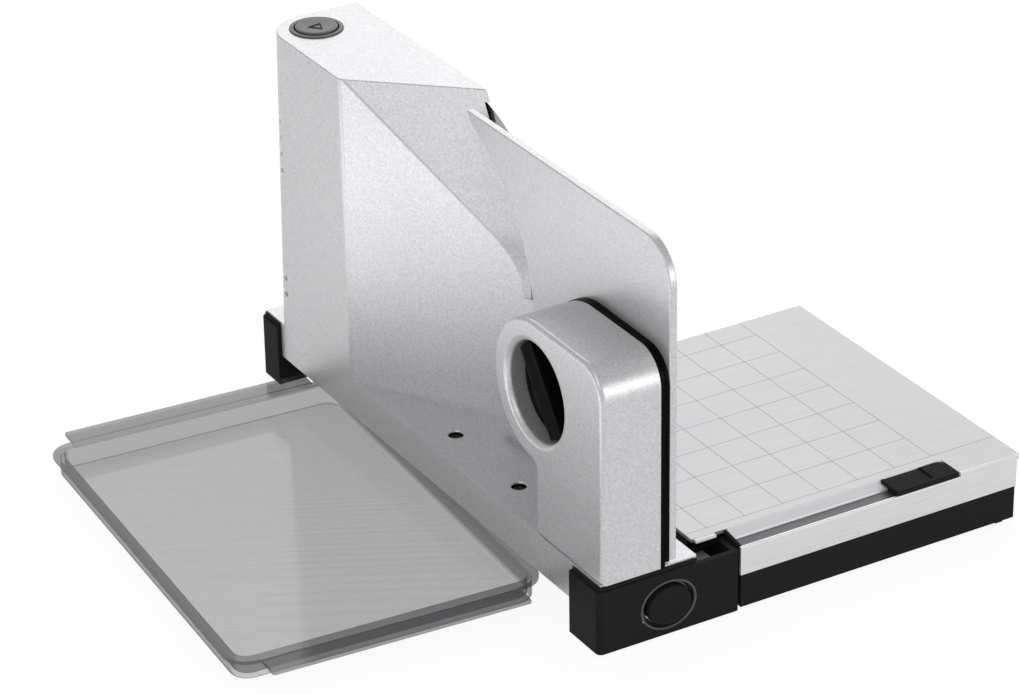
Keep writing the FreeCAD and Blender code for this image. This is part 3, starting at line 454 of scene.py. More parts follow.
@dataclass(frozen=True)
class Finish:
    """A surface: its colours, gloss and the grain that it shows.

    Args:
        name: Name of the surface.
        slot: The material slot that the surface belongs to; not used.
        colour: Mean linear colour.
        variation: Share by which the grain lightens and darkens the colour.
        roughness: Mean roughness.
        metallic: Share of metal.
        grain: Grain cells in each metre along the three axes.
        bump: Height of the grain in millimetres.
        level: Specular level.
        alpha: Opacity of a face that is looked at squarely.
        flake: Share by which single flakes lighten and darken the colour.
    """

    name: str
    slot: str
    colour: Triple
    variation: float = 0.08
    roughness: float = 0.45
    metallic: float = 0.0
    grain: Triple = (900.0, 900.0, 900.0)
    bump: float = 0.01
    level: float = 0.5
    alpha: float = 1.0
    flake: float = 0.0

    def build(self) -> bpy.types.Material:
        """Make the material, or return the one already made."""
        title = self.name + "_finish"
        if title in bpy.data.materials:
            return bpy.data.materials[title]
        material = bpy.data.materials.new(title)
        material.use_nodes = True
        tree = material.node_tree
        shader = tree.nodes["Principled BSDF"]
        shader.inputs["Metallic"].default_value = self.metallic
        shader.inputs["Specular IOR Level"].default_value = self.level
        place = tree.nodes.new("ShaderNodeTexCoord").outputs["Object"]
        scale = add_node(tree, "ShaderNodeMapping", {"Scale": self.grain}, {"Vector": place})
        noise = add_node(tree, "ShaderNodeTexNoise", {"Scale": 1.0, "Detail": 3.0}, {"Vector": scale.outputs["Vector"]})
        grain = noise.outputs["Fac"]
        colour = self.grained(tree, grain)
        if self.flake:
            colour = self.flaked(tree, place, colour)
        self.tint(tree, place, colour, shader)
        broad = add_node(tree, "ShaderNodeTexNoise", {"Scale": 9.0, "Detail": 2.0}, {"Vector": place})
        low, high = GRAIN_RANGE
        spread = add_node(tree, "ShaderNodeMapRange",
                          {"From Min": low, "From Max": high, "To Min": max(0.03, self.roughness * 0.92),
                           "To Max": min(1.0, self.roughness * 1.08)}, {"Value": broad.outputs["Fac"]})
        tree.links.new(spread.outputs["Result"], shader.inputs["Roughness"])
        bump = add_node(tree, "ShaderNodeBump", {"Strength": 0.5, "Distance": self.bump / 1000}, {"Height": grain})
        tree.links.new(bump.outputs["Normal"], shader.inputs["Normal"])
        if self.alpha < 1:
            self.clear(tree, shader)
        return material

    def grained(self, tree: bpy.types.NodeTree, grain: Socket) -> Socket:
        """Lighten and darken the colour with the grain.

        Args:
            tree: The material's tree.
            grain: Height of the grain from 0 to 1.

        Returns:
            The grained colour.
        """
        ramp = add_node(tree, "ShaderNodeValToRGB", {}, {"Fac": grain})
        shares = (1 - self.variation, 1 + self.variation)
        for element, position, share in zip(ramp.color_ramp.elements, GRAIN_RANGE, shares):
            element.position = position
            element.color = (*(min(1.0, channel * share) for channel in self.colour), 1.0)
        return ramp.outputs["Color"]

    def flaked(self, tree: bpy.types.NodeTree, place: Socket, colour: Socket) -> Socket:
        """Lighten and darken a colour in small cells, as metal flakes do in paint.

        Args:
            tree: The material's tree.
            place: Object coordinates.
            colour: The colour without flakes.

        Returns:
            The flaked colour.
        """
        cells = add_node(tree, "ShaderNodeTexVoronoi", {"Scale": FLAKES_PER_METRE}, {"Vector": place})
        split = add_node(tree, "ShaderNodeSeparateColor", {}, {0: cells.outputs["Color"]})
        level = add_node(tree, "ShaderNodeMapRange", {"To Min": 1 - self.flake, "To Max": 1 + self.flake},
                         {"Value": split.outputs[0]})
        scaled = add_node(tree, "ShaderNodeVectorMath", {}, {0: colour, "Scale": level.outputs["Result"]},
                          operation="SCALE")
        return scaled.outputs[0]

    def clear(self, tree: bpy.types.NodeTree, shader: bpy.types.Node) -> None:
        """Let clear plastic grow denser where the surface turns away.

        Args:
            tree: The material's tree.
            shader: The material's shader.
        """
        weight = add_node(tree, "ShaderNodeLayerWeight", {"Blend": 0.5}, {})
        density = add_node(tree, "ShaderNodeMapRange",
                           {"From Min": 0.3, "From Max": 0.9, "To Min": self.alpha, "To Max": 0.95},
                           {"Value": weight.outputs["Facing"]})
        tree.links.new(density.outputs["Result"], shader.inputs["Alpha"])

    def tint(self, tree: bpy.types.NodeTree, place: Socket, colour: Socket, shader: bpy.types.Node) -> None:
        """Lead the colour to the shader as it is.

        Args:
            tree: The material's tree.
            place: Object coordinates, for the finishes with a pattern.
            colour: The colour so far.
            shader: The material's shader.
        """
        tree.links.new(colour, shader.inputs["Base Color"])


@dataclass(frozen=True)
class LinedMetal(Finish):
    """Brushed sheet with a field of fine pressed lines, drawn as painted shade in the sheet's colour.

    Args:
        pitch: Distance of the lines in millimetres.
        first: Place of the field's last line across the sheet.
        row: Place of the line that ends the field at the front.
        width: Width of a line.
        groove_shade: Painted shade of the pressed lines, as a tone against the sheet.
    """

    pitch: float = 20.5
    first: float = 191.5
    row: float = 19.3
    width: float = 0.44
    groove_shade: Triple = (0.5, 0.5, 0.51)

    def tint(self, tree: bpy.types.NodeTree, place: Socket, colour: Socket, shader: bpy.types.Node) -> None:
        """Darken the sheet's colour along its pressed lines as painted shade, and lead it to the shader.

        Args:
            tree: The material's tree.
            place: Object coordinates.
            colour: The sheet's colour.
            shader: The material's shader.
        """

        def calc(operation: str, *given: float | Socket) -> Socket:
            """The result of a math node.

            Args:
                operation: The node's operation.
                given: Its numbers and sockets in order.

            Returns:
                The result's socket.
            """
            numbers = {index: value for index, value in enumerate(given) if isinstance(value, float)}
            sockets = {index: value for index, value in enumerate(given) if not isinstance(value, float)}
            return add_node(tree, "ShaderNodeMath", numbers, sockets, operation=operation).outputs[0]

        split = add_node(tree, "ShaderNodeSeparateXYZ", {}, {0: place})
        x = calc("SUBTRACT", split.outputs["X"], (self.first + LEFT) / 1000)
        y = calc("SUBTRACT", split.outputs["Y"], (self.row + FRONT) / 1000)
        half, margin = self.pitch / 2000, 0.0003
        lined_x, lined_y = (calc("LESS_THAN", calc("ABSOLUTE", calc("WRAP", value, half, -half)), self.width / 2000)
                            for value in (x, y))
        in_field = calc("LESS_THAN", x, margin)
        behind_row = calc("GREATER_THAN", y, -margin)
        on_row = calc("LESS_THAN", y, margin)
        across = calc("MULTIPLY", calc("MULTIPLY", lined_x, in_field), behind_row)
        along = calc("MULTIPLY", calc("MULTIPLY", lined_y, behind_row), calc("MAXIMUM", in_field, on_row))
        # The mix paints the shade of the pressed lines into the sheet's colour.
        mix = add_node(tree, "ShaderNodeMix", {7: (*self.groove_shade, 1.0)}, {0: calc("MAXIMUM", across, along), 6: colour},
                       data_type="RGBA", blend_type="MULTIPLY")
        tree.links.new(mix.outputs[2], shader.inputs["Base Color"])


SILVER_PAINT = Finish("silver_paint", "silver_paint", (0.64, 0.64, 0.655), 0.05, 0.38, 0.6, (900, 900, 900), 0.004,
                      flake=0.1)
BLACK_PLASTIC = Finish("black_plastic", "black_plastic", (0.018, 0.018, 0.0185), 0.25, 0.5, 0.0,
                       (1500, 1500, 1500), 0.02, level=0.04)
GLOSS_BLACK = Finish("gloss_black", "gloss_black", (0.003, 0.003, 0.0032), 0.15, 0.3, 0.0, (700, 700, 700), 0.004,
                     level=0.04)
# A rougher satin copy of the gloss black. Its colour is lifted as a painted highlight on the button caps and rings.
SATIN_HIGHLIGHT_BLACK = Finish("satin_highlight_black", "gloss_black", (0.02, 0.02, 0.021), 0.15, 0.42, 0.0, (900, 900, 900), 0.006,
                     level=0.9)
# The deck's pressed lines are painted shade in its colour.
DECK_STEEL = LinedMetal("deck_steel", "deck_steel", (0.5, 0.5, 0.51), 0.06, 0.36, 0.6, (60, 2500, 2500), 0.004)
FASCIA_STEEL = Finish("fascia_steel", "silver_paint", (0.74, 0.74, 0.75), 0.06, 0.36, 0.6, (40, 2500, 2500), 0.004)
# The rail and the trim are the deck's steel painted much paler, as a painted highlight along their edges.
RAIL_HIGHLIGHT_STEEL = Finish("rail_highlight_steel", "deck_steel", (0.86, 0.86, 0.88), 0.05, 0.4, 0.25, (40, 2500, 2500), 0.004)
# The gutter's floor is the deck's steel painted dark grey, as painted shade for the shadow that lies in the gutter.
GUTTER_SHADE_STEEL = Finish("gutter_shade_steel", "deck_steel", (0.13, 0.13, 0.14), 0.1, 0.4, 0.5, (40, 2500, 2500), 0.004)
BLADE_STEEL = Finish("blade_steel", "blade_steel", (0.66, 0.66, 0.67), 0.06, 0.22, 1.0, (300, 900, 900), 0.003)
SCREW_STEEL = Finish("screw_steel", "screw_steel", (0.42, 0.42, 0.43), 0.12, 0.35, 0.9, (1200, 1200, 1200), 0.004)
DARK_SCREW = Finish("dark_screw", "screw_steel", (0.03, 0.03, 0.03), 0.2, 0.4, 0.3, (1200, 1200, 1200), 0.004)
BRONZE = Finish("bronze", "bronze", (0.46, 0.27, 0.1), 0.15, 0.4, 0.9, (1300, 1300, 1300), 0.01)
GEAR_PLASTIC = Finish("gear_plastic", "gear_plastic", (0.66, 0.63, 0.52), 0.05, 0.5, 0.0, (800, 800, 800), 0.01)
INNER_PLASTIC = Finish("inner_plastic", "inner_plastic", (0.06, 0.06, 0.065), 0.15, 0.55, 0.0, (900, 900, 900), 0.02)
PAD_RUBBER = Finish("pad_rubber", "pad_rubber", (0.022, 0.022, 0.022), 0.2, 0.75, 0.0, (1500, 1500, 1500), 0.03)
SMOKE_PLASTIC = Finish("smoke_plastic", "smoke_plastic", (0.07, 0.073, 0.08), 0.03, 0.1, 0.0, (30, 30, 30), 0.0,
                       alpha=0.36)


def dress(piece: bpy.types.Object, finish: Finish, body: str, *nodes: str, angle: float = 32.0) -> bpy.types.Object:
    """Give a piece its finish and body, and let it stand for CAD nodes.

    Args:
        piece: The finished mesh object.
        finish: Its surface.
        body: The body it rides on.
        nodes: CAD nodes that it replaces.
        angle: Angle above which an edge stays sharp in the shading.

    Returns:
        The piece.
    """
    piece.data.materials.clear()
    piece.data.materials.append(finish.build())
    piece.data.shade_smooth()
    piece.data.set_sharp_from_angle(angle=math.radians(angle))
    even = piece.modifiers.new("even_shading", "WEIGHTED_NORMAL")
    even.keep_sharp = True
    settle(piece)
    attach(piece, body)
    if nodes:
        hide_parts(*nodes)
    LOG.info("%s rides on %s", piece.name, body)
    return piece


def carry(finish: Finish, *nodes: str) -> None:
    """Let CAD nodes stay as they are, with a finish.

    Args:
        finish: Their surface.
        nodes: Names of the nodes.
    """
    for node in nodes:
        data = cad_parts[node].data
        data.materials.clear()
        data.materials.append(finish.build())


def repeated(name: str, template: bpy.types.Object, count: tuple[int, int], size: Pair, centre: Vector,
             finish: Finish) -> bpy.types.Object:
    """A grid of copies of one piece, made by a node tree and turned into a mesh.

    Args:
        name: Name of the result.
        template: The piece about the world origin; it is used up.
        count: Number of copies across X and Y.
        size: Extent of the grid in metres.
        centre: The grid's middle.
        finish: Surface that the tree gives to the copies.

    Returns:
        The realized object.
    """
    tree = bpy.data.node_groups.new(name + "_copies", "GeometryNodeTree")
    face = tree.interface
    face.new_socket("Geometry", in_out="INPUT", socket_type="NodeSocketGeometry")
    face.new_socket("Geometry", in_out="OUTPUT", socket_type="NodeSocketGeometry")
    wanted = {"Columns": ("NodeSocketInt", count[0]), "Rows": ("NodeSocketInt", count[1]),
              "Width": ("NodeSocketFloat", size[0]), "Depth": ("NodeSocketFloat", size[1]),
              "Centre": ("NodeSocketVector", tuple(centre)), "Material": ("NodeSocketMaterial", finish.build())}
    sockets = {key: face.new_socket(key, in_out="INPUT", socket_type=kind) for key, (kind, _) in wanted.items()}
    given = tree.nodes.new("NodeGroupInput").outputs
    grid = add_node(tree, "GeometryNodeMeshGrid", {}, {"Size X": given["Width"], "Size Y": given["Depth"],
                                                       "Vertices X": given["Columns"], "Vertices Y": given["Rows"]})
    move = add_node(tree, "GeometryNodeTransform", {}, {"Geometry": grid.outputs["Mesh"],
                                                        "Translation": given["Centre"]})
    spread = add_node(tree, "GeometryNodeInstanceOnPoints", {}, {"Points": move.outputs["Geometry"],
                                                                 "Instance": given["Geometry"]})
    real = add_node(tree, "GeometryNodeRealizeInstances", {}, {"Geometry": spread.outputs["Instances"]})
    paint = add_node(tree, "GeometryNodeSetMaterial", {}, {"Geometry": real.outputs["Geometry"],
                                                           "Material": given["Material"]})
    add_node(tree, "NodeGroupOutput", {}, {"Geometry": paint.outputs["Geometry"]})
    modifier = template.modifiers.new("copies", "NODES")
    modifier.node_group = tree
    for key, (_, value) in wanted.items():
        modifier[sockets[key].identifier] = value
    settle(template)
    template.name = name
    return template


# Sub-assemblies


@dataclass
class PushButton:
    """A round or oval push button in its ring.

    Args:
        name: First part of its pieces' names.
        axis: Direction of its travel.
        centre: Place in the drawing plane.
        face: Place of the housing's face along the axis.
        outward: 1 or -1, the way out of the face along the axis.
        ring_radius: Outer radius of the ring.
        ring_stand: How far the ring stands out of the face.
        button_radius: Radius of the cap.
        button_stand: How far the cap stands out of the face.
        body: The body that the cap rides on.
        nodes: The CAD nodes of the ring and the cap.
        cap_finish: Surface of the cap.
        squash: Height as a share of the width.
    """

    name: str
    axis: Axis
    centre: Pair
    face: float
    outward: int
    ring_radius: float
    ring_stand: float
    button_radius: float
    button_stand: float
    body: str
    nodes: tuple[str, str]
    cap_finish: Finish
    squash: float = 1.0

    def turned(self, part: str, profile: Outline) -> bpy.types.Object:
        """Turn a profile of radii and heights over the face about the button's axis, and squash it.

        Args:
            part: Last part of the piece's name.
            profile: Radius and height of each point.

        Returns:
            The object.
        """
        placed = [(radius, self.face + self.outward * height) for radius, height in profile]
        return self.flattened(lathe(self.name + part, self.axis, self.centre, placed, 96))

    def flattened(self, piece: bpy.types.Object) -> bpy.types.Object:
        """Squash a turned piece along the drawing's up direction.

        Args:
            piece: The object about the button's axis.

        Returns:
            The same object.
        """
        middle = self.axis.point(*self.centre, 0.0)
        scale = Matrix.Scale(self.squash, 4, self.axis.point(0, 1, 0) - self.axis.point(0, 0, 0))
        piece.data.transform(Matrix.Translation(middle) @ scale @ Matrix.Translation(-middle))
        return piece

    def build(self) -> None:
        """The ring and the dished cap."""
        inner, outer, stand = self.button_radius + 0.3, self.ring_radius, self.ring_stand
        if stand > 0:
            ring = [(inner, -5), (inner, stand - 0.4), (inner + 0.2, stand - 0.05), (inner + 0.8, stand),
                    (outer - 0.7, stand), (outer - 0.15, stand * 0.7), (outer, 0), (outer - 1.3, 0), (outer - 1.3, -5),
                    (inner, -5)]
        else:
            ring = [(inner, -4.9), (inner, -2.6), (inner + 0.9, -2.7), (inner + 1.2, -2.4), (inner + 1.35, -0.8),
                    (inner + 1.6, -0.15), (inner + 2.0, 0.25), (outer - 0.1, 0.2), (outer, 0), (outer - 0.4, -2),
                    (inner + 1.6, -4.9), (inner, -4.9)]
        # The ring is painted a lighter black, as a painted highlight.
        dress(self.turned("_ring", ring), SATIN_HIGHLIGHT_BLACK, "machine", self.nodes[0])
        top, edge = self.button_stand, self.button_radius
        cap = [(0, top - 0.35), (edge * 0.5, top - 0.3), (edge - 1.9, top), (edge - 1.0, top - 0.05),
               (edge - 0.3, top - 0.4), (edge, top - 1.1), (edge, -6), (edge - 1.8, -6), (edge - 1.8, -2), (3, -2),
               (3, -10), (0, -10)]
        dress(self.turned("_cap", cap), self.cap_finish, self.body, self.nodes[1])


@dataclass
class Base:
    """Two feet joined by a folded table plate."""

    length: float = 73.4
    foot_top: float = 33.0
    channel_top: float = 32.3
    foot_low: float = 1.2
    table_top: float = 35.9
    depth: float = 317.0
    front_depth: float = 25.2
    rear_start: float = 299.5
    channel: Pair = (52.4, 70.4)
    channel_floor: float = 13.5
    wall: float = 2.4
    past: float = 5.0
    land: float = 34.9
    land_sides: Pair = (1.0, 51.6)
    plate: tuple[float, float, float, float] = (2.1, 1.7, 52.0, 315.0)
    skirt_low: float = 16.9
    holes: tuple[Pair, Pair] = ((17.3, 96.2), (17.3, 153.6))
    spring_centre: Pair = (36.1, 16.7)

    def foot(self, name: str, span: Pair, land: Pair, slot: Pair, hollow: Pair, radii: Corners,
             land_radii: Corners) -> bpy.types.Object:
        """A moulded foot with its land for the table plate and the open channel for the carriage's guide.

        Args:
            name: Name of the object.
            span: Where the foot starts and ends along the machine.
            land: The same for its land.
            slot: The same for its channel.
            hollow: The same for its hollow underside.
            radii: The foot's corner radii.
            land_radii: The land's corner radii.

        Returns:
            The foot.
        """
        foot = prism(name, Axis.Z, box_outline(0, span[0], self.length, span[1], *radii), self.foot_low,
                     self.foot_top, 0.5)
        left, right = self.land_sides
        seat = prism("land", Axis.Z, box_outline(left, land[0], right, land[1], *land_radii), 20.0, self.land, 0.4)
        combine(foot, [seat], "UNION")
        channel = prism("slot", Axis.Z, box_outline(self.channel[0], slot[0], self.channel[1], slot[1], 0.4),
                        self.channel_floor, self.foot_top + self.past)
        room = prism("hollow", Axis.Z, box_outline(self.wall, hollow[0], 49.6, hollow[1]), 0.0,
                     self.foot_top - self.wall)
        return combine(foot, [channel, room])

    def feet(self) -> None:
        """The front foot with its push button, the rear foot and the pads under both."""
        front = self.foot("foot", (0.0, self.front_depth), (0.9, 23.0), (2.6, self.front_depth + self.past),
                          (5.0, self.front_depth - self.wall), (3.0, 1.2, 0.8, 0.8), (2.4, 0.6, 0.6, 0.6))
        button = PushButton("front", Axis.Y, (36.3, 16.5), 0.0, -1, 14.6, 0.0, 11.2, 1.7, "front_press",
                            ("front_bezel", "front_button"), BLACK_PLASTIC, 0.84)
        hole = button.flattened(bore("hole", Axis.Y, button.centre, button.ring_radius + 0.1, -3, 6, 96))
        lowered = prism("lowered", Axis.Z, box_outline(50.6, -self.past, self.length + self.past,
                                                       self.front_depth + self.past),
                        self.channel_top, self.foot_top + self.past)
        combine(front, [hole, lowered])
        dress(soften(front, 0.3, 50, 2), BLACK_PLASTIC, "machine", "front_foot")
        button.build()
        dress(coil("front_spring", Axis.Y, self.spring_centre, 5.0, (4.9, 9.6), 5), SCREW_STEEL, "machine",
              "front_button_spring")
        rear = self.foot("foot_rear", (self.rear_start, self.depth), (self.rear_start + 0.5, self.depth - 0.9),
                         (self.rear_start - self.past, self.depth + self.past),
                         (self.rear_start + self.wall, self.depth - self.wall), (0.8, 0.8, 1.2, 3.0),
                         (0.6, 0.6, 0.6, 2.4))
        dress(rear, BLACK_PLASTIC, "machine", "rear_foot")
        low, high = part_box("foot_pads")
        pad = lathe("pad", Axis.Z, (-LEFT, -FRONT), [(0, 0), (5.2, 0), (6, 0.5), (6, 2), (0, 2)], 40)
        across = 0.012
        dress(repeated("foot_pads_rubber", pad, (2, 2), (high.x - low.x - across, high.y - low.y - across),
                       Vector(((low.x + high.x) / 2, (low.y + high.y) / 2, 0.0)), PAD_RUBBER),
              PAD_RUBBER, "machine", "foot_pads")

    def table(self) -> None:
        """The folded plate with its two screw recesses and the notch beside the blade."""
        left, front, right, back = self.plate
        plate = prism("table_plate", Axis.Z, box_outline(left, front, right, back, 0.8), self.land - 0.1,
                      self.table_top)
        skirt = prism("skirt", Axis.X, box_outline(self.front_depth, self.skirt_low, self.rear_start,
                                                   self.table_top - 0.7), left, left + 1.2)
        recess = [(0, 30), (3.6, 30), (3.6, 35.4), (4.3, 36.5), (0, 36.5)]
        cutters = [blade_room("notch", 50.5, 56)]
        cutters += [lathe("recess", Axis.Z, hole, recess, 48) for hole in self.holes]
        combine(combine(plate, [skirt], "UNION"), cutters)
        dress(soften(plate, 0.45, 50, 3), SILVER_PAINT, "machine", "base_table")
        self.screw_heads()

    def screw_heads(self) -> None:
        """The two cross-slotted screws in the plate's recesses."""
        head = lathe("head", Axis.Z, (-LEFT, -FRONT), [(0, 34.6), (1.6, 34.6), (2.6, 34.1), (2.9, 33.2), (2.9, 31.2),
                                                       (0, 31.2)], 32)
        for turn in (0.0, math.pi / 2):
            cross = prism("cross", Axis.Z, box_outline(-LEFT - 1.7, -FRONT - 0.3, -LEFT + 1.7, -FRONT + 0.3), 33.9, 36)
            cross.data.transform(Matrix.Rotation(turn, 4, "Z"))
            combine(head, [cross])
        (across, near), (_, far) = self.holes
        middle = Axis.Z.point(across, (near + far) / 2, 0)
        dress(repeated("table_screw_heads", head, (1, 2), (0.0, (far - near) / 1000), middle, DARK_SCREW),
              DARK_SCREW, "machine", "table_screws")

    def build(self) -> None:
        """Build and dress the base."""
        self.feet()
        self.table()
        carry(BLACK_PLASTIC, "table_carrier")
        # The guide rail takes the same pale steel with its painted highlight.
        carry(RAIL_HIGHLIGHT_STEEL, "guide_rail")


@dataclass
class Tower:
    """The motor tower with its slanted front wall and the deflector that is cut into it."""

    low: float = 35.9
    high: float = 192.7
    left: Pair = (2.0, 1.2)
    right: float = 52.5
    back: float = 303.8
    front_left: float = 226.0
    front_right: float = 132.5
    front_corner: float = 9.0
    back_corner: Pair = (10.6, 20.4)
    deflector_edge: float = 50.5
    deflector_top: float = 181.5
    deflector_radius: float = 61.5
    wall: float = 2.5
    button: Pair = (21.1, 285.5)
    gland: Pair = (22.0, 50.0)
    edge_width: float = 3.0

    def plan(self, height: float, wall: float, right: float) -> Outline:
        """The plan of the tower at a height, moved inwards by a wall's thickness.

        Args:
            height: The height.
            wall: How far the plan is moved inwards.
            right: Where the plan ends on the right.

        Returns:
            The outline.
        """
        share = (height - self.low) / (self.high - self.low)
        slope = (self.front_left - self.front_right) / (self.right - self.left[0])
        left = self.left[0] + (self.left[1] - self.left[0]) * share + wall
        front = self.front_left + wall * math.hypot(1, slope)
        corner = self.back_corner[0] + (self.back_corner[1] - self.back_corner[0]) * share - wall
        return rounded([(left, front - slope * (left - self.left[0]), self.front_corner - wall),
                        (right, front - slope * (right - self.left[0]), 0.0), (right, self.back - wall, 0.0),
                        (left, self.back - wall, corner)], 12)

    def body(self, name: str, wall: float, right: float, low: float, high: float) -> bpy.types.Object:
        """The tower's solid, which narrows upwards, less what the deflector takes off.

        Args:
            name: Name of the object.
            wall: How far its faces are moved inwards.
            right: Where it ends on the right.
            low: Its lowest height.
            high: Its highest height.

        Returns:
            The object.
        """
        heights = [low + (high - low) * step / 10 for step in range(11)]
        whole = skinned(name, [[Axis.Z.point(x, y, z) for x, y in self.plan(z, wall, right)] for z in heights])
        return combine(whole, [self.wedge(wall)])

    def wedge(self, wall: float) -> bpy.types.Object:
        """The cutter of the deflector: a straight drop that meets an arc about the blade's axis.

        Args:
            wall: How far the deflector's face is moved inwards.

        Returns:
            The cutter.
        """
        radius = self.deflector_radius - 1.35 * wall
        y, z = BLADE_CENTRE
        top = Vector((self.deflector_top - y, self.high - z))
        touch = math.atan2(top.y, top.x) + math.acos(self.deflector_radius / top.length)
        square = Vector((math.cos(touch), math.sin(touch)))
        climb = Vector((math.sin(touch), -math.cos(touch)))
        above = top - square * (self.deflector_radius - radius) + climb * 30
        far = -3 * self.deflector_radius
        section = [tuple(above)] + arc((0, 0), radius, math.degrees(touch), 180, 32) + [(far, 0), (far, above.y)]
        run = (self.left[0] - self.deflector_edge, self.front_left - self.deflector_top)
        return skinned("wedge", [[Axis.Z.point(self.deflector_edge + run[0] * share, y + across + run[1] * share,
                                               z + up) for across, up in section] for share in (-0.2, 1.4)])

    def rounded_edges(self, piece: bpy.types.Object) -> bpy.types.Object:
        """Round the tower's upper edges, the deflector's crease and the edges beside the blade.

        Args:
            piece: The tower's solid.

        Returns:
            The same object.
        """
        mesh = cleaned(piece, 0.3)
        weights = mesh.edges.layers.float.new("bevel_weight_edge")
        roof = self.high / 1000 - 1e-5
        for edge in mesh.edges:
            if len(edge.link_faces) != 2 or edge.calc_face_angle(0.0) < math.radians(12):
                continue
            normals = [face.normal for face in edge.link_faces]
            if min(vertex.co.z for vertex in edge.verts) > roof:
                edge[weights] = 0.2
            elif all(normal.x < -0.25 and normal.y < -0.25 for normal in normals):
                edge[weights] = 0.25
            elif max(normal.x for normal in normals) > 0.9:
                edge[weights] = 0.15
        mesh.to_mesh(piece.data)
        mesh.free()
        modifier = piece.modifiers.new("edges", "BEVEL")
        modifier.limit_method = "WEIGHT"
        modifier.width = self.edge_width / 1000
        modifier.segments = 4
        modifier.use_clamp_overlap = False
        return settle(piece)

    def vents(self, number: int, count: int, first: float, step: float, start: float) -> bpy.types.Object:
        """A set of vent slots round the rear left corner, as one cutter.

        Args:
            number: Number of the set.
            count: How many slots it has.
            first: Height of its first slot.
            step: Distance of the slots.
            start: Where the slots start on the left wall.

        Returns:
            The cutter.
        """
        slots = [prism(f"vent_{number}_{index}", Axis.Z, box_outline(-2, start, 26, 310), first + index * step,
                       first + index * step + 2.4) for index in range(count)]
        return joined(f"vents_{number}", slots)

    def housing(self) -> None:
        """The painted shell."""
        shell = self.rounded_edges(self.body("tower_housing", 0.0, self.right, self.low, self.high))
        room = prism("plate_room", Axis.X, box_outline(60, 30, *BLADE_CENTRE), 48.1, 53.5)
        combine(shell, [self.body("inner", self.wall, self.right + 3, self.low - 5, self.high - self.wall),
                        blade_room("blade_room", 50.5, 56), bore("button_hole", Axis.Z, self.button, 11.9, 180, 200),
                        bore("gland_hole", Axis.Y, self.gland, 4.5, 295, 310, 40),
                        combine(room, [blade_room("kept", 47, 55)])])
        combine(shell, [self.vents(0, 4, 146.9, -8.7, 288.5), self.vents(1, 2, 53.4, 8.7, 290.0)])
        dress(shell, SILVER_PAINT, "machine", "tower_shell", angle=24)

    def mark(self) -> None:
        """The raised triangle on the top button."""
        x, y, size = self.button[0], self.button[1] - 0.6, 4.4
        points = [(x + size * math.cos(math.radians(turn)), y + size * math.sin(math.radians(turn)))
                  for turn in (40, 160, 280)]
        outer = prism("button_mark", Axis.Z, points, self.high + 0.6, self.high + 1.3)
        inner = prism("mark_inner", Axis.Z, inset(points, 0.75), self.high, self.high + 2)
        dress(combine(outer, [inner]), GLOSS_BLACK, "top_press")

    def build(self) -> None:
        """Build and dress the tower and its push button."""
        self.housing()
        # The top cap and ring take the satin black with its painted highlight.
        PushButton("top", Axis.Z, self.button, self.high, 1, 13.05, 0.7, 10.45, 1.4, "top_press",
                   ("top_bezel", "top_button"), SATIN_HIGHLIGHT_BLACK).build()
        dress(coil("top_spring", Axis.Z, self.button, 4.65, (179.2, 186.9), 6), SCREW_STEEL, "machine",
              "top_button_spring")
        self.mark()
        carry(BLACK_PLASTIC, "blade_side_wall")
        carry(SCREW_STEEL, "side_wall_screws")
        carry(PAD_RUBBER, "cord_gland")


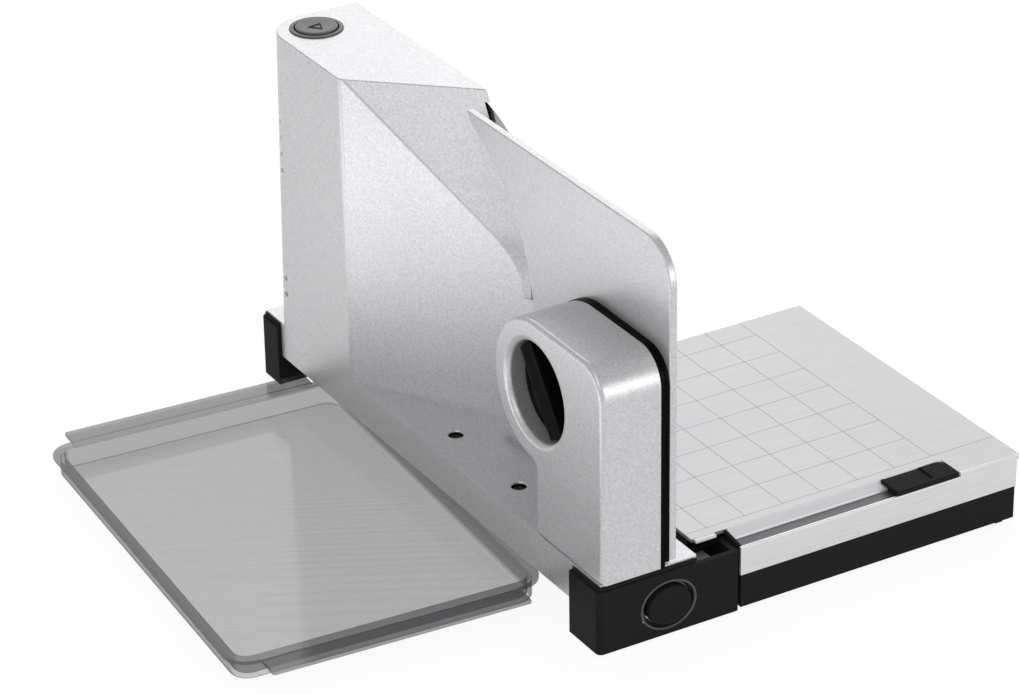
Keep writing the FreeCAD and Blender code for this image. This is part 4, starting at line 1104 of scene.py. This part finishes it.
@dataclass
class Adjuster:
    """The dial housing, the plates behind it and the stop plate."""

    left: float = 2.0
    right: float = 32.2
    back: float = 55.6
    top: float = 140.2
    low: float = 35.9
    head: Pair = (56.0, 106.0)
    radius: float = 34.4
    corner: float = 16.0
    neck: float = 3.5
    recess: float = 23.5
    depth: float = 14.0
    lip: float = 3.0
    wall: float = 2.6
    grow: float = 0.4
    sheet: float = 2.0
    plate_radius: float = 87.0
    plate_span: Pair = (38.6, 183.9)
    grip_turn: float = 36.0
    grip_reach: float = 23.5

    def outline(self, grow: float, low: float) -> Outline:
        """The housing's side view, grown all round but for its lower end.

        Args:
            grow: How far it is grown.
            low: Height of its lower end.

        Returns:
            The outline.
        """
        y, z = self.head
        radius, top, back = self.radius + grow, self.top + grow, self.back + grow
        drop = math.sqrt((radius + self.neck) ** 2 - (back + self.neck - y) ** 2)
        tangent = math.degrees(math.atan2(-drop, back + self.neck - y))
        return [(-grow, low), *arc((self.corner - grow, top - self.corner - grow), self.corner, 180, 90, 10),
                *arc(self.head, radius, 90, tangent, 64),
                *arc((back + self.neck, z - drop), self.neck, tangent + 180, 180, 8), (back, low)]

    def housing(self) -> None:
        """The painted housing with its rounded outer rim and the dial's recess."""
        shell = prism("dial_housing", Axis.X, self.outline(0.0, self.low), self.left, self.right, 2.2, 0.3, 6)
        floor, outside = self.left + self.depth, self.left - 2
        lip = [(self.recess + self.lip - self.lip * math.sin(a), self.left + self.lip - self.lip * math.cos(a))
               for a in (math.pi / 2 * step / 8 for step in range(9))]
        recess = lathe("recess", Axis.X, self.head, [(0, outside), (self.recess + self.lip, outside), *lip,
                                                     (self.recess, floor), (0, floor)], 128)
        spindle = bore("spindle_hole", Axis.X, self.head, 4.6, 14, 22, 40)
        hollow = prism("hollow", Axis.X, inset(self.outline(0.0, self.low + self.wall), self.wall),
                       self.left + self.wall, self.right + 3)
        combine(hollow, [bore("cup", Axis.X, self.head, self.recess + self.wall, 0, floor + self.wall, 96)])
        combine(shell, [hollow, recess, spindle])
        dress(shell, SILVER_PAINT, "machine", "adjuster_housing")

    def plates(self) -> None:
        """The two black plates and the stop plate."""
        start, rim = self.right, 0.35
        back = prism("housing_plate", Axis.X, self.outline(self.grow, self.low), start, start + self.sheet, rim)
        holes = [bore("hole", Axis.X, centre, radius, 30, 36, 40)
                 for centre, radius in (((15, 60), 3.3), ((15, 122), 3.3), (self.head, 7.45))]
        dress(combine(back, holes), GLOSS_BLACK, "machine", "adjuster_back_plate")
        moving = prism("moving_plate", Axis.X, self.outline(self.grow, self.low + 2.7), start + 2.2, start + 4.2, rim)
        dress(moving, GLOSS_BLACK, "stop_plate", "fence_carrier")
        ends = []
        for height in self.plate_span:
            rise = height - BLADE_CENTRE[1]
            turn = math.degrees(math.atan2(rise, -math.sqrt(self.plate_radius ** 2 - rise ** 2)))
            ends.append(turn % 360)
        points = [(0.3, self.plate_span[0]), *arc(BLADE_CENTRE, self.plate_radius, *ends, 90), (170.6, 189.3),
                  (169.9, 189.9), *arc((20.3, 169.9), 20, 90, 180, 24)]
        dress(prism("stop_plate", Axis.X, points, start + 4.2, start + 8.1, 0.7), SILVER_PAINT, "stop_plate",
              "fence_plate")

    def dial(self) -> None:
        """The dial's disc and its raised grip."""
        start = self.left + self.depth - 4.5
        disc = lathe("dial_disc", Axis.X, self.head, [(0, start), (20.5, start), (21.6, start - 0.6),
                                                      (22.4, start - 0.5), (23.0, start), (23.0, start + 4),
                                                      (0, start + 4)], 96)
        section = [(-6.4, 0.5), (-5.9, -5.2), (-5.2, -6.3), (-4.3, -6.5), (-3.2, -6.0), (0, -4.9), (3.2, -6.0),
                   (4.3, -6.5), (5.2, -6.3), (5.9, -5.2), (6.4, 0.5)]
        turn = math.radians(self.grip_turn)
        along = Vector((math.sin(turn), math.cos(turn)))
        across = Vector((math.cos(turn), -math.sin(turn)))
        rings = [[Axis.X.point(*(Vector(self.head) + along * place + across * side), start + lift)
                  for side, lift in section] for place in (-self.grip_reach, self.grip_reach)]
        limit = lathe("limit", Axis.X, self.head, [(0, 0), (21.0, 0), (22.6, 7), (22.6, 20), (0, 20)], 96)
        dial = combine(disc, [combine(skinned("dial_grip", rings), [limit], "INTERSECT")], "UNION")
        dial.name = "dial"
        dress(soften(dial, 0.35, 50, 2), GLOSS_BLACK, "thickness_dial", "dial_knob")
        carry(INNER_PLASTIC, "dial_spindle")

    def build(self) -> None:
        """Build and dress the adjuster."""
        self.housing()
        self.plates()
        self.dial()
        carry(INNER_PLASTIC, "rod_guide", "fence_nut")
        carry(SCREW_STEEL, "fence_rods")


@dataclass
class Carriage:
    """The food carriage with its gutter, catch and guide shoe."""

    left: float = 57.0
    right: float = 227.4
    top: float = 35.9
    front: float = 14.0
    back: float = 178.0
    gutter: Pair = (75.8, 193.5)
    catch_length: float = 34.2
    body: str = "food_carriage"

    def bar(self, name: str, outline: Outline, span: Pair, rim: float, finish: Finish, *nodes: str) -> None:
        """A straight piece of one section across the carriage.

        Args:
            name: Name of the piece.
            outline: Its section, seen from the left.
            span: Its two ends.
            rim: Rounding at the ends.
            finish: Its surface.
            nodes: CAD nodes that it replaces.
        """
        dress(prism(name, Axis.X, outline, *span, rim), finish, self.body, *nodes)

    def deck(self) -> None:
        """The lined sheet with the side that is folded down, and the rail behind the gutter, painted pale as a painted
        highlight.
        """
        sheet = prism("deck_sheet", Axis.Z, box_outline(self.left, 0.4, self.right, self.back, 1.0), self.top - 1.6,
                      self.top, 0.0, 0.5)
        notch = prism("notch", Axis.Z, box_outline(self.left - 5, -5, self.gutter[1], self.front), 30, 40)
        side = prism("side", Axis.X, box_outline(1.0, 19.3, self.back, self.top - 0.5), 224.8, 226.0)
        dress(combine(combine(sheet, [notch]), [side], "UNION"), DECK_STEEL, self.body, "carriage_deck")
        # The rail's pale steel is a painted highlight on the deck's steel.
        rail = [(-5.0, 31.0), (-5.0, 32.3), (-4.6, 33.2), (-4.2, 33.5), (-2.1, 34.3), (-1.9, 34.3), (-1.7, 34.1),
                (-0.5, 35.2), (-0.2, 35.7), (0.0, 35.85), (0.0, 31.0)]
        self.bar("gutter_rail", [(self.front + back, up) for back, up in rail], self.gutter, 0.0, RAIL_HIGHLIGHT_STEEL)

    def front_face(self) -> None:
        """The bright fascia and the deck's corner beside the gutter."""
        fascia = prism("fascia", Axis.X, box_outline(-0.4, 19.3, 1.0, 33.7, 0.2, 0.0, 0.2, 0.6), 74.0, 226.0, 0.2)
        corner = prism("fascia_corner", Axis.X, box_outline(-0.4, 33.3, 1.6, 35.85, 0.0, 0.0, 0.0, 0.5),
                       self.gutter[1] + 0.3, 227.2)
        dress(joined("fascia", [fascia, corner]), FASCIA_STEEL, self.body, "carriage_fascia")

    def frame(self) -> None:
        """The moulded frame under the deck with its front band, the gutter's floor with its painted shade, and its left
        end.
        """
        carry(BLACK_PLASTIC, "carriage_frame")
        self.bar("front_band", box_outline(-0.15, 2.7, 3.0, 19.2, 0.5, 0.5, 0.0, 0.2), (74.3, 225.7), 0.5,
                 BLACK_PLASTIC)
        # The gutter's floor takes the dark steel that paints in the gutter's shade.
        rear = self.front - 4.9
        self.bar("gutter_floor", [(1.05, 30.8), (rear, 30.8), (rear, 32.2), (2.2, 32.2), (1.05, 32.5)], self.gutter,
                 0.0, GUTTER_SHADE_STEEL)
        self.bar("gutter_cap", rounded([(1.1, 21.3, 0.2), (15.0, 21.3, 0.2), (15.0, 35.5, 0.8), (1.1, 33.3, 0.8)]),
                 (74.2, 75.8), 0.3, BLACK_PLASTIC, "gutter_end_cap")
        cover = [(10.6, 31.3, 0.3), (14.0, 31.3, 0.0), (14.0, 34.2, 0.0), (12.2, 34.2, 0.3), (12.2, 33.2, 0.2),
                 (10.8, 33.0, 0.4)]
        self.bar("channel_cover_strip", rounded(cover), (58.0, 69.4), 0.3, GLOSS_BLACK, "channel_cover")
        # The trim's top takes the pale steel too, as a painted highlight.
        trim = [(11.9, 34.3, 0.2), (14.0, 34.3, 0.0), (14.0, 35.8, 0.0), (11.9, 35.6, 0.7)]
        self.bar("channel_trim", rounded(trim), (58.2, 69.2), 0.3, RAIL_HIGHLIGHT_STEEL)
        carry(BLACK_PLASTIC, "guide_shoe")
        carry(PAD_RUBBER, "carriage_glides")

    def catch(self) -> None:
        """The sliding catch in the gutter."""
        right = self.gutter[1] - 0.3
        left = right - self.catch_length
        step = left + 21.5
        back = self.front + 2
        cap = prism("gutter_catch", Axis.Z, box_outline(left, -0.3, right, self.front - 0.3, 0.8, 0.8, 4.0, 0.8),
                    34.3, 36.1, 0.0, 0.6)
        groove = prism("groove", Axis.Y, [(step - 0.8, 36.5), (step - 0.2, 35.3), (step + 0.5, 36.5)], 2.4, back)
        dish = prism("dish", Axis.Z, box_outline(left + 1.5, 2.4, step - 0.6, back), 35.6, 37)
        slide = prism("slide", Axis.Z, box_outline(left + 0.4, 1.6, right - 0.4, self.front - 5.2, 0.5), 32.6, 34.6)
        front = prism("front", Axis.Z, box_outline(left + 0.2, -0.3, right - 0.2, 1.6, 0.4), 34.0, 34.6)
        combine(combine(cap, [groove, dish]), [slide, front], "UNION")
        dress(cap, BLACK_PLASTIC, "gutter_catch", "gutter_slider")

    def build(self) -> None:
        """Build and dress the carriage."""
        self.deck()
        self.front_face()
        self.frame()
        self.catch()


@dataclass
class Tray:
    """The clear slice tray, turned a little on the worktop."""

    middle: Pair = (-63.0, 169.8)
    turn: float = -3.5
    length: float = 154.0
    width: float = 223.0
    height: float = 11.0
    rim: float = 3.2
    wall: float = 2.0

    def placed(self, piece: bpy.types.Object) -> bpy.types.Object:
        """Move a piece that is drawn about the tray's middle to its place.

        Args:
            piece: The object.

        Returns:
            The same object.
        """
        move = Matrix.Translation(Axis.Z.point(*self.middle, 0))
        local = Matrix.Translation(-Axis.Z.point(0, 0, 0))
        piece.data.transform(move @ Matrix.Rotation(math.radians(self.turn), 4, "Z") @ local)
        return piece

    def build(self) -> None:
        """The tray with its rim and the flat handles at its two ends."""
        x, y = self.length / 2 - self.rim, self.width / 2 - self.rim
        wide, deep = x + self.rim, y + self.rim
        outer = prism("slice_tray_clear", Axis.Z, box_outline(-x, -y, x, y, 9.0), 0.0, self.height, 1.5, 0.0)
        rim = prism("rim", Axis.Z, box_outline(-wide, -deep, wide, deep, 12.2), self.height - 1.6, self.height, 0.3)
        flange = prism("flange", Axis.Z, box_outline(14 - wide, -y - 14.7, wide - 14, y + 14.7, 1.5),
                       self.height - 2.2, self.height - 0.6, 0.3)
        x, y = x - self.wall, y - self.wall
        inner = prism("inner", Axis.Z, box_outline(-x, -y, x, y, 7.0), 1.6, self.height + 2, 1.2, 0.0)
        combine(combine(outer, [rim, flange], "UNION"), [inner])
        dress(self.placed(outer), SMOKE_PLASTIC, "tray", "slice_tray")


@dataclass
class Blade:
    """The round blade with its bevelled edge, and the lock at its centre."""

    left: float = 51.3

    def build(self) -> None:
        """Build and dress the blade set."""
        disc = [(7.95, 0), (60, 0), (78, 0.35), (84.95, 1.05), (85.0, 1.2), (83.6, 1.2), (81, 0.9), (74, 0.8),
                (72, 1.2), (28, 1.2), (26.5, 1.5), (20, 1.5), (18.5, 1.2), (7.95, 1.2), (7.95, 0)]
        lock = [(0, 0), (7.9, 0), (7.9, 1.3), (14.6, 1.3), (15, 1.7), (14.4, 2.6), (12.4, 3.2), (0, 3.3)]
        blade, lock = (lathe(name, Axis.X, BLADE_CENTRE, [(radius, self.left + place) for radius, place in profile],
                             steps) for name, profile, steps in (("blade_disc", disc, 256), ("lock_disc", lock, 96)))
        dress(blade, BLADE_STEEL, "blade_assembly", "blade", angle=12)
        carry(BLACK_PLASTIC, "blade_hub")
        y, z = BLADE_CENTRE
        grip = prism("lock_grip", Axis.X, box_outline(y - 12.8, z - 3, y + 12.8, z + 3, 2.6), self.left + 2.0,
                     self.left + 4.8, 0.0, 0.7)
        dress(combine(lock, [grip], "UNION"), BLACK_PLASTIC, "blade_lock_body", "blade_lock")


@dataclass
class Drive:
    """The motor, gears and switches, kept as the construction has them."""

    def build(self) -> None:
        """Dress the nodes."""
        carry(INNER_PLASTIC, "gear_frame", "motor_magnets", "top_switch", "switch_bracket", "front_switch")
        carry(SCREW_STEEL, "motor_can", "armature", "worm", "lay_shaft", "lay_pinion", "blade_shaft")
        carry(GEAR_PLASTIC, "motor_end_cap", "worm_wheel", "drive_gear")
        carry(BRONZE, "blade_bush")


@dataclass
class Studio:
    """Camera, lamps, floor and backdrop."""

    focal: float = 3910.27
    image_width: float = 1019.0
    sensor: float = 36.0
    azimuth: float = 30.23
    elevation: float = 27.45
    roll: float = -0.96
    eye: Triple = (-763.8, -1237.8, 910.0)
    far_clip: float = 20.0
    ambient: float = 0.46
    mirrored: float = 0.55
    floor_size: float = 6.0
    floor_glow: float = 1.07
    floor_seen: float = 0.85
    floor_mirrored: float = 0.7

    def camera(self) -> None:
        """The photograph's viewpoint."""
        az, el, ro = (math.radians(value) for value in (self.azimuth, self.elevation, self.roll))
        ahead = Vector((math.sin(az) * math.cos(el), math.cos(az) * math.cos(el), -math.sin(el)))
        right = Vector((math.cos(az), -math.sin(az), 0))
        up = right.cross(ahead)
        across = right * math.cos(ro) + up * math.sin(ro)
        upright = up * math.cos(ro) - right * math.sin(ro)
        data = bpy.data.cameras.new("camera")
        data.sensor_width = self.sensor
        data.lens = self.focal / self.image_width * self.sensor
        data.clip_end = self.far_clip
        eye = bpy.data.objects.new("camera", data)
        columns = Matrix((across, upright, -ahead)).transposed().to_4x4()
        eye.matrix_world = Matrix.Translation(Axis.Z.point(*self.eye)) @ columns
        bpy.context.scene.collection.objects.link(eye)
        bpy.context.scene.camera = eye

    def lamp(self, name: str, place: Triple, size: float, power: float, aim: Triple = (0.0, 0.0, 0.06),
             seen: bool = True) -> None:
        """A square soft lamp that looks at a point.

        Args:
            name: Name of the lamp.
            place: Where it stands, in metres.
            size: Its side in metres.
            power: Its power in watts.
            aim: The point that it looks at.
            seen: Whether the camera sees it.
        """
        data = bpy.data.lights.new(name, "AREA")
        data.shape = "SQUARE"
        data.size = size
        data.energy = power
        lamp = bpy.data.objects.new(name, data)
        lamp.location = place
        lamp.visible_camera = seen
        lamp.rotation_euler = (Vector(aim) - Vector(place)).to_track_quat("-Z", "Y").to_euler()
        bpy.context.scene.collection.objects.link(lamp)

    def world(self) -> None:
        """White where the camera sees it, plain grey for the light it gives and in reflections."""
        world = bpy.data.worlds.new("studio")
        bpy.context.scene.world = world
        world.use_nodes = True
        tree = world.node_tree
        background = tree.nodes["Background"]
        tree.links.new(self.by_ray(tree, self.ambient, 1.0, self.mirrored), background.inputs["Strength"])
        background.inputs["Color"].default_value = (1, 1, 1, 1)

    def by_ray(self, tree: bpy.types.NodeTree, plain: float, seen: float, mirrored: float) -> Socket:
        """A value that differs with the kind of light ray.

        Args:
            tree: The node tree.
            plain: The value for all other light.
            seen: The value for what the camera sees.
            mirrored: The value for what reflections show.

        Returns:
            The value's socket.
        """
        path = tree.nodes.new("ShaderNodeLightPath").outputs
        unseen = add_node(tree, "ShaderNodeMapRange", {"To Min": plain, "To Max": mirrored},
                          {"Value": path["Is Glossy Ray"]})
        value = add_node(tree, "ShaderNodeMapRange", {"To Max": seen},
                         {"Value": path["Is Camera Ray"], "To Min": unseen.outputs["Result"]})
        return value.outputs["Result"]

    def floor(self) -> None:
        """A pale floor that keeps the shadows."""
        mesh = bmesh.new()
        bmesh.ops.create_grid(mesh, x_segments=1, y_segments=1, size=self.floor_size)
        ground = add_object("floor", mesh)
        material = bpy.data.materials.new("floor_white")
        material.use_nodes = True
        tree = material.node_tree
        shader = tree.nodes["Principled BSDF"]
        shader.inputs["Base Color"].default_value = (0.9, 0.9, 0.9, 1)
        shader.inputs["Roughness"].default_value = 0.9
        glow = add_node(tree, "ShaderNodeEmission", {"Strength": self.floor_glow}, {})
        share = self.by_ray(tree, 0.0, self.floor_seen, self.floor_mirrored)
        mix = add_node(tree, "ShaderNodeMixShader", {}, {"Fac": share, 1: shader.outputs["BSDF"],
                                                         2: glow.outputs["Emission"]})
        tree.links.new(mix.outputs["Shader"], tree.nodes["Material Output"].inputs["Surface"])
        ground.data.materials.append(material)

    def build(self) -> None:
        """Set up the studio."""
        self.camera()
        self.world()
        self.floor()
        self.lamp("key", (-1.3, -1.0, 1.3), 1.2, 6.0)
        self.lamp("bounce", (-0.45, 0.03, 0.004), 0.5, 0.85, (-0.45, 0.03, 1.0), False)
        self.lamp("back", (0.72, 1.33, 0.95), 1.5, 9.5)
        self.lamp("right", (0.75, -1.5, 0.45), 0.7, 5.0)
        bpy.context.scene.view_settings.view_transform = "Standard"


def main() -> None:
    """Build the whole slicer in order."""
    logging.basicConfig(level=logging.INFO, format="%(message)s")
    Studio().build()
    for part in (Base(), Tower(), Adjuster(), Carriage(), Tray(), Blade(), Drive()):
        part.build()
        LOG.info("%s is built", type(part).__name__)


if __name__ == "__main__":
    main()
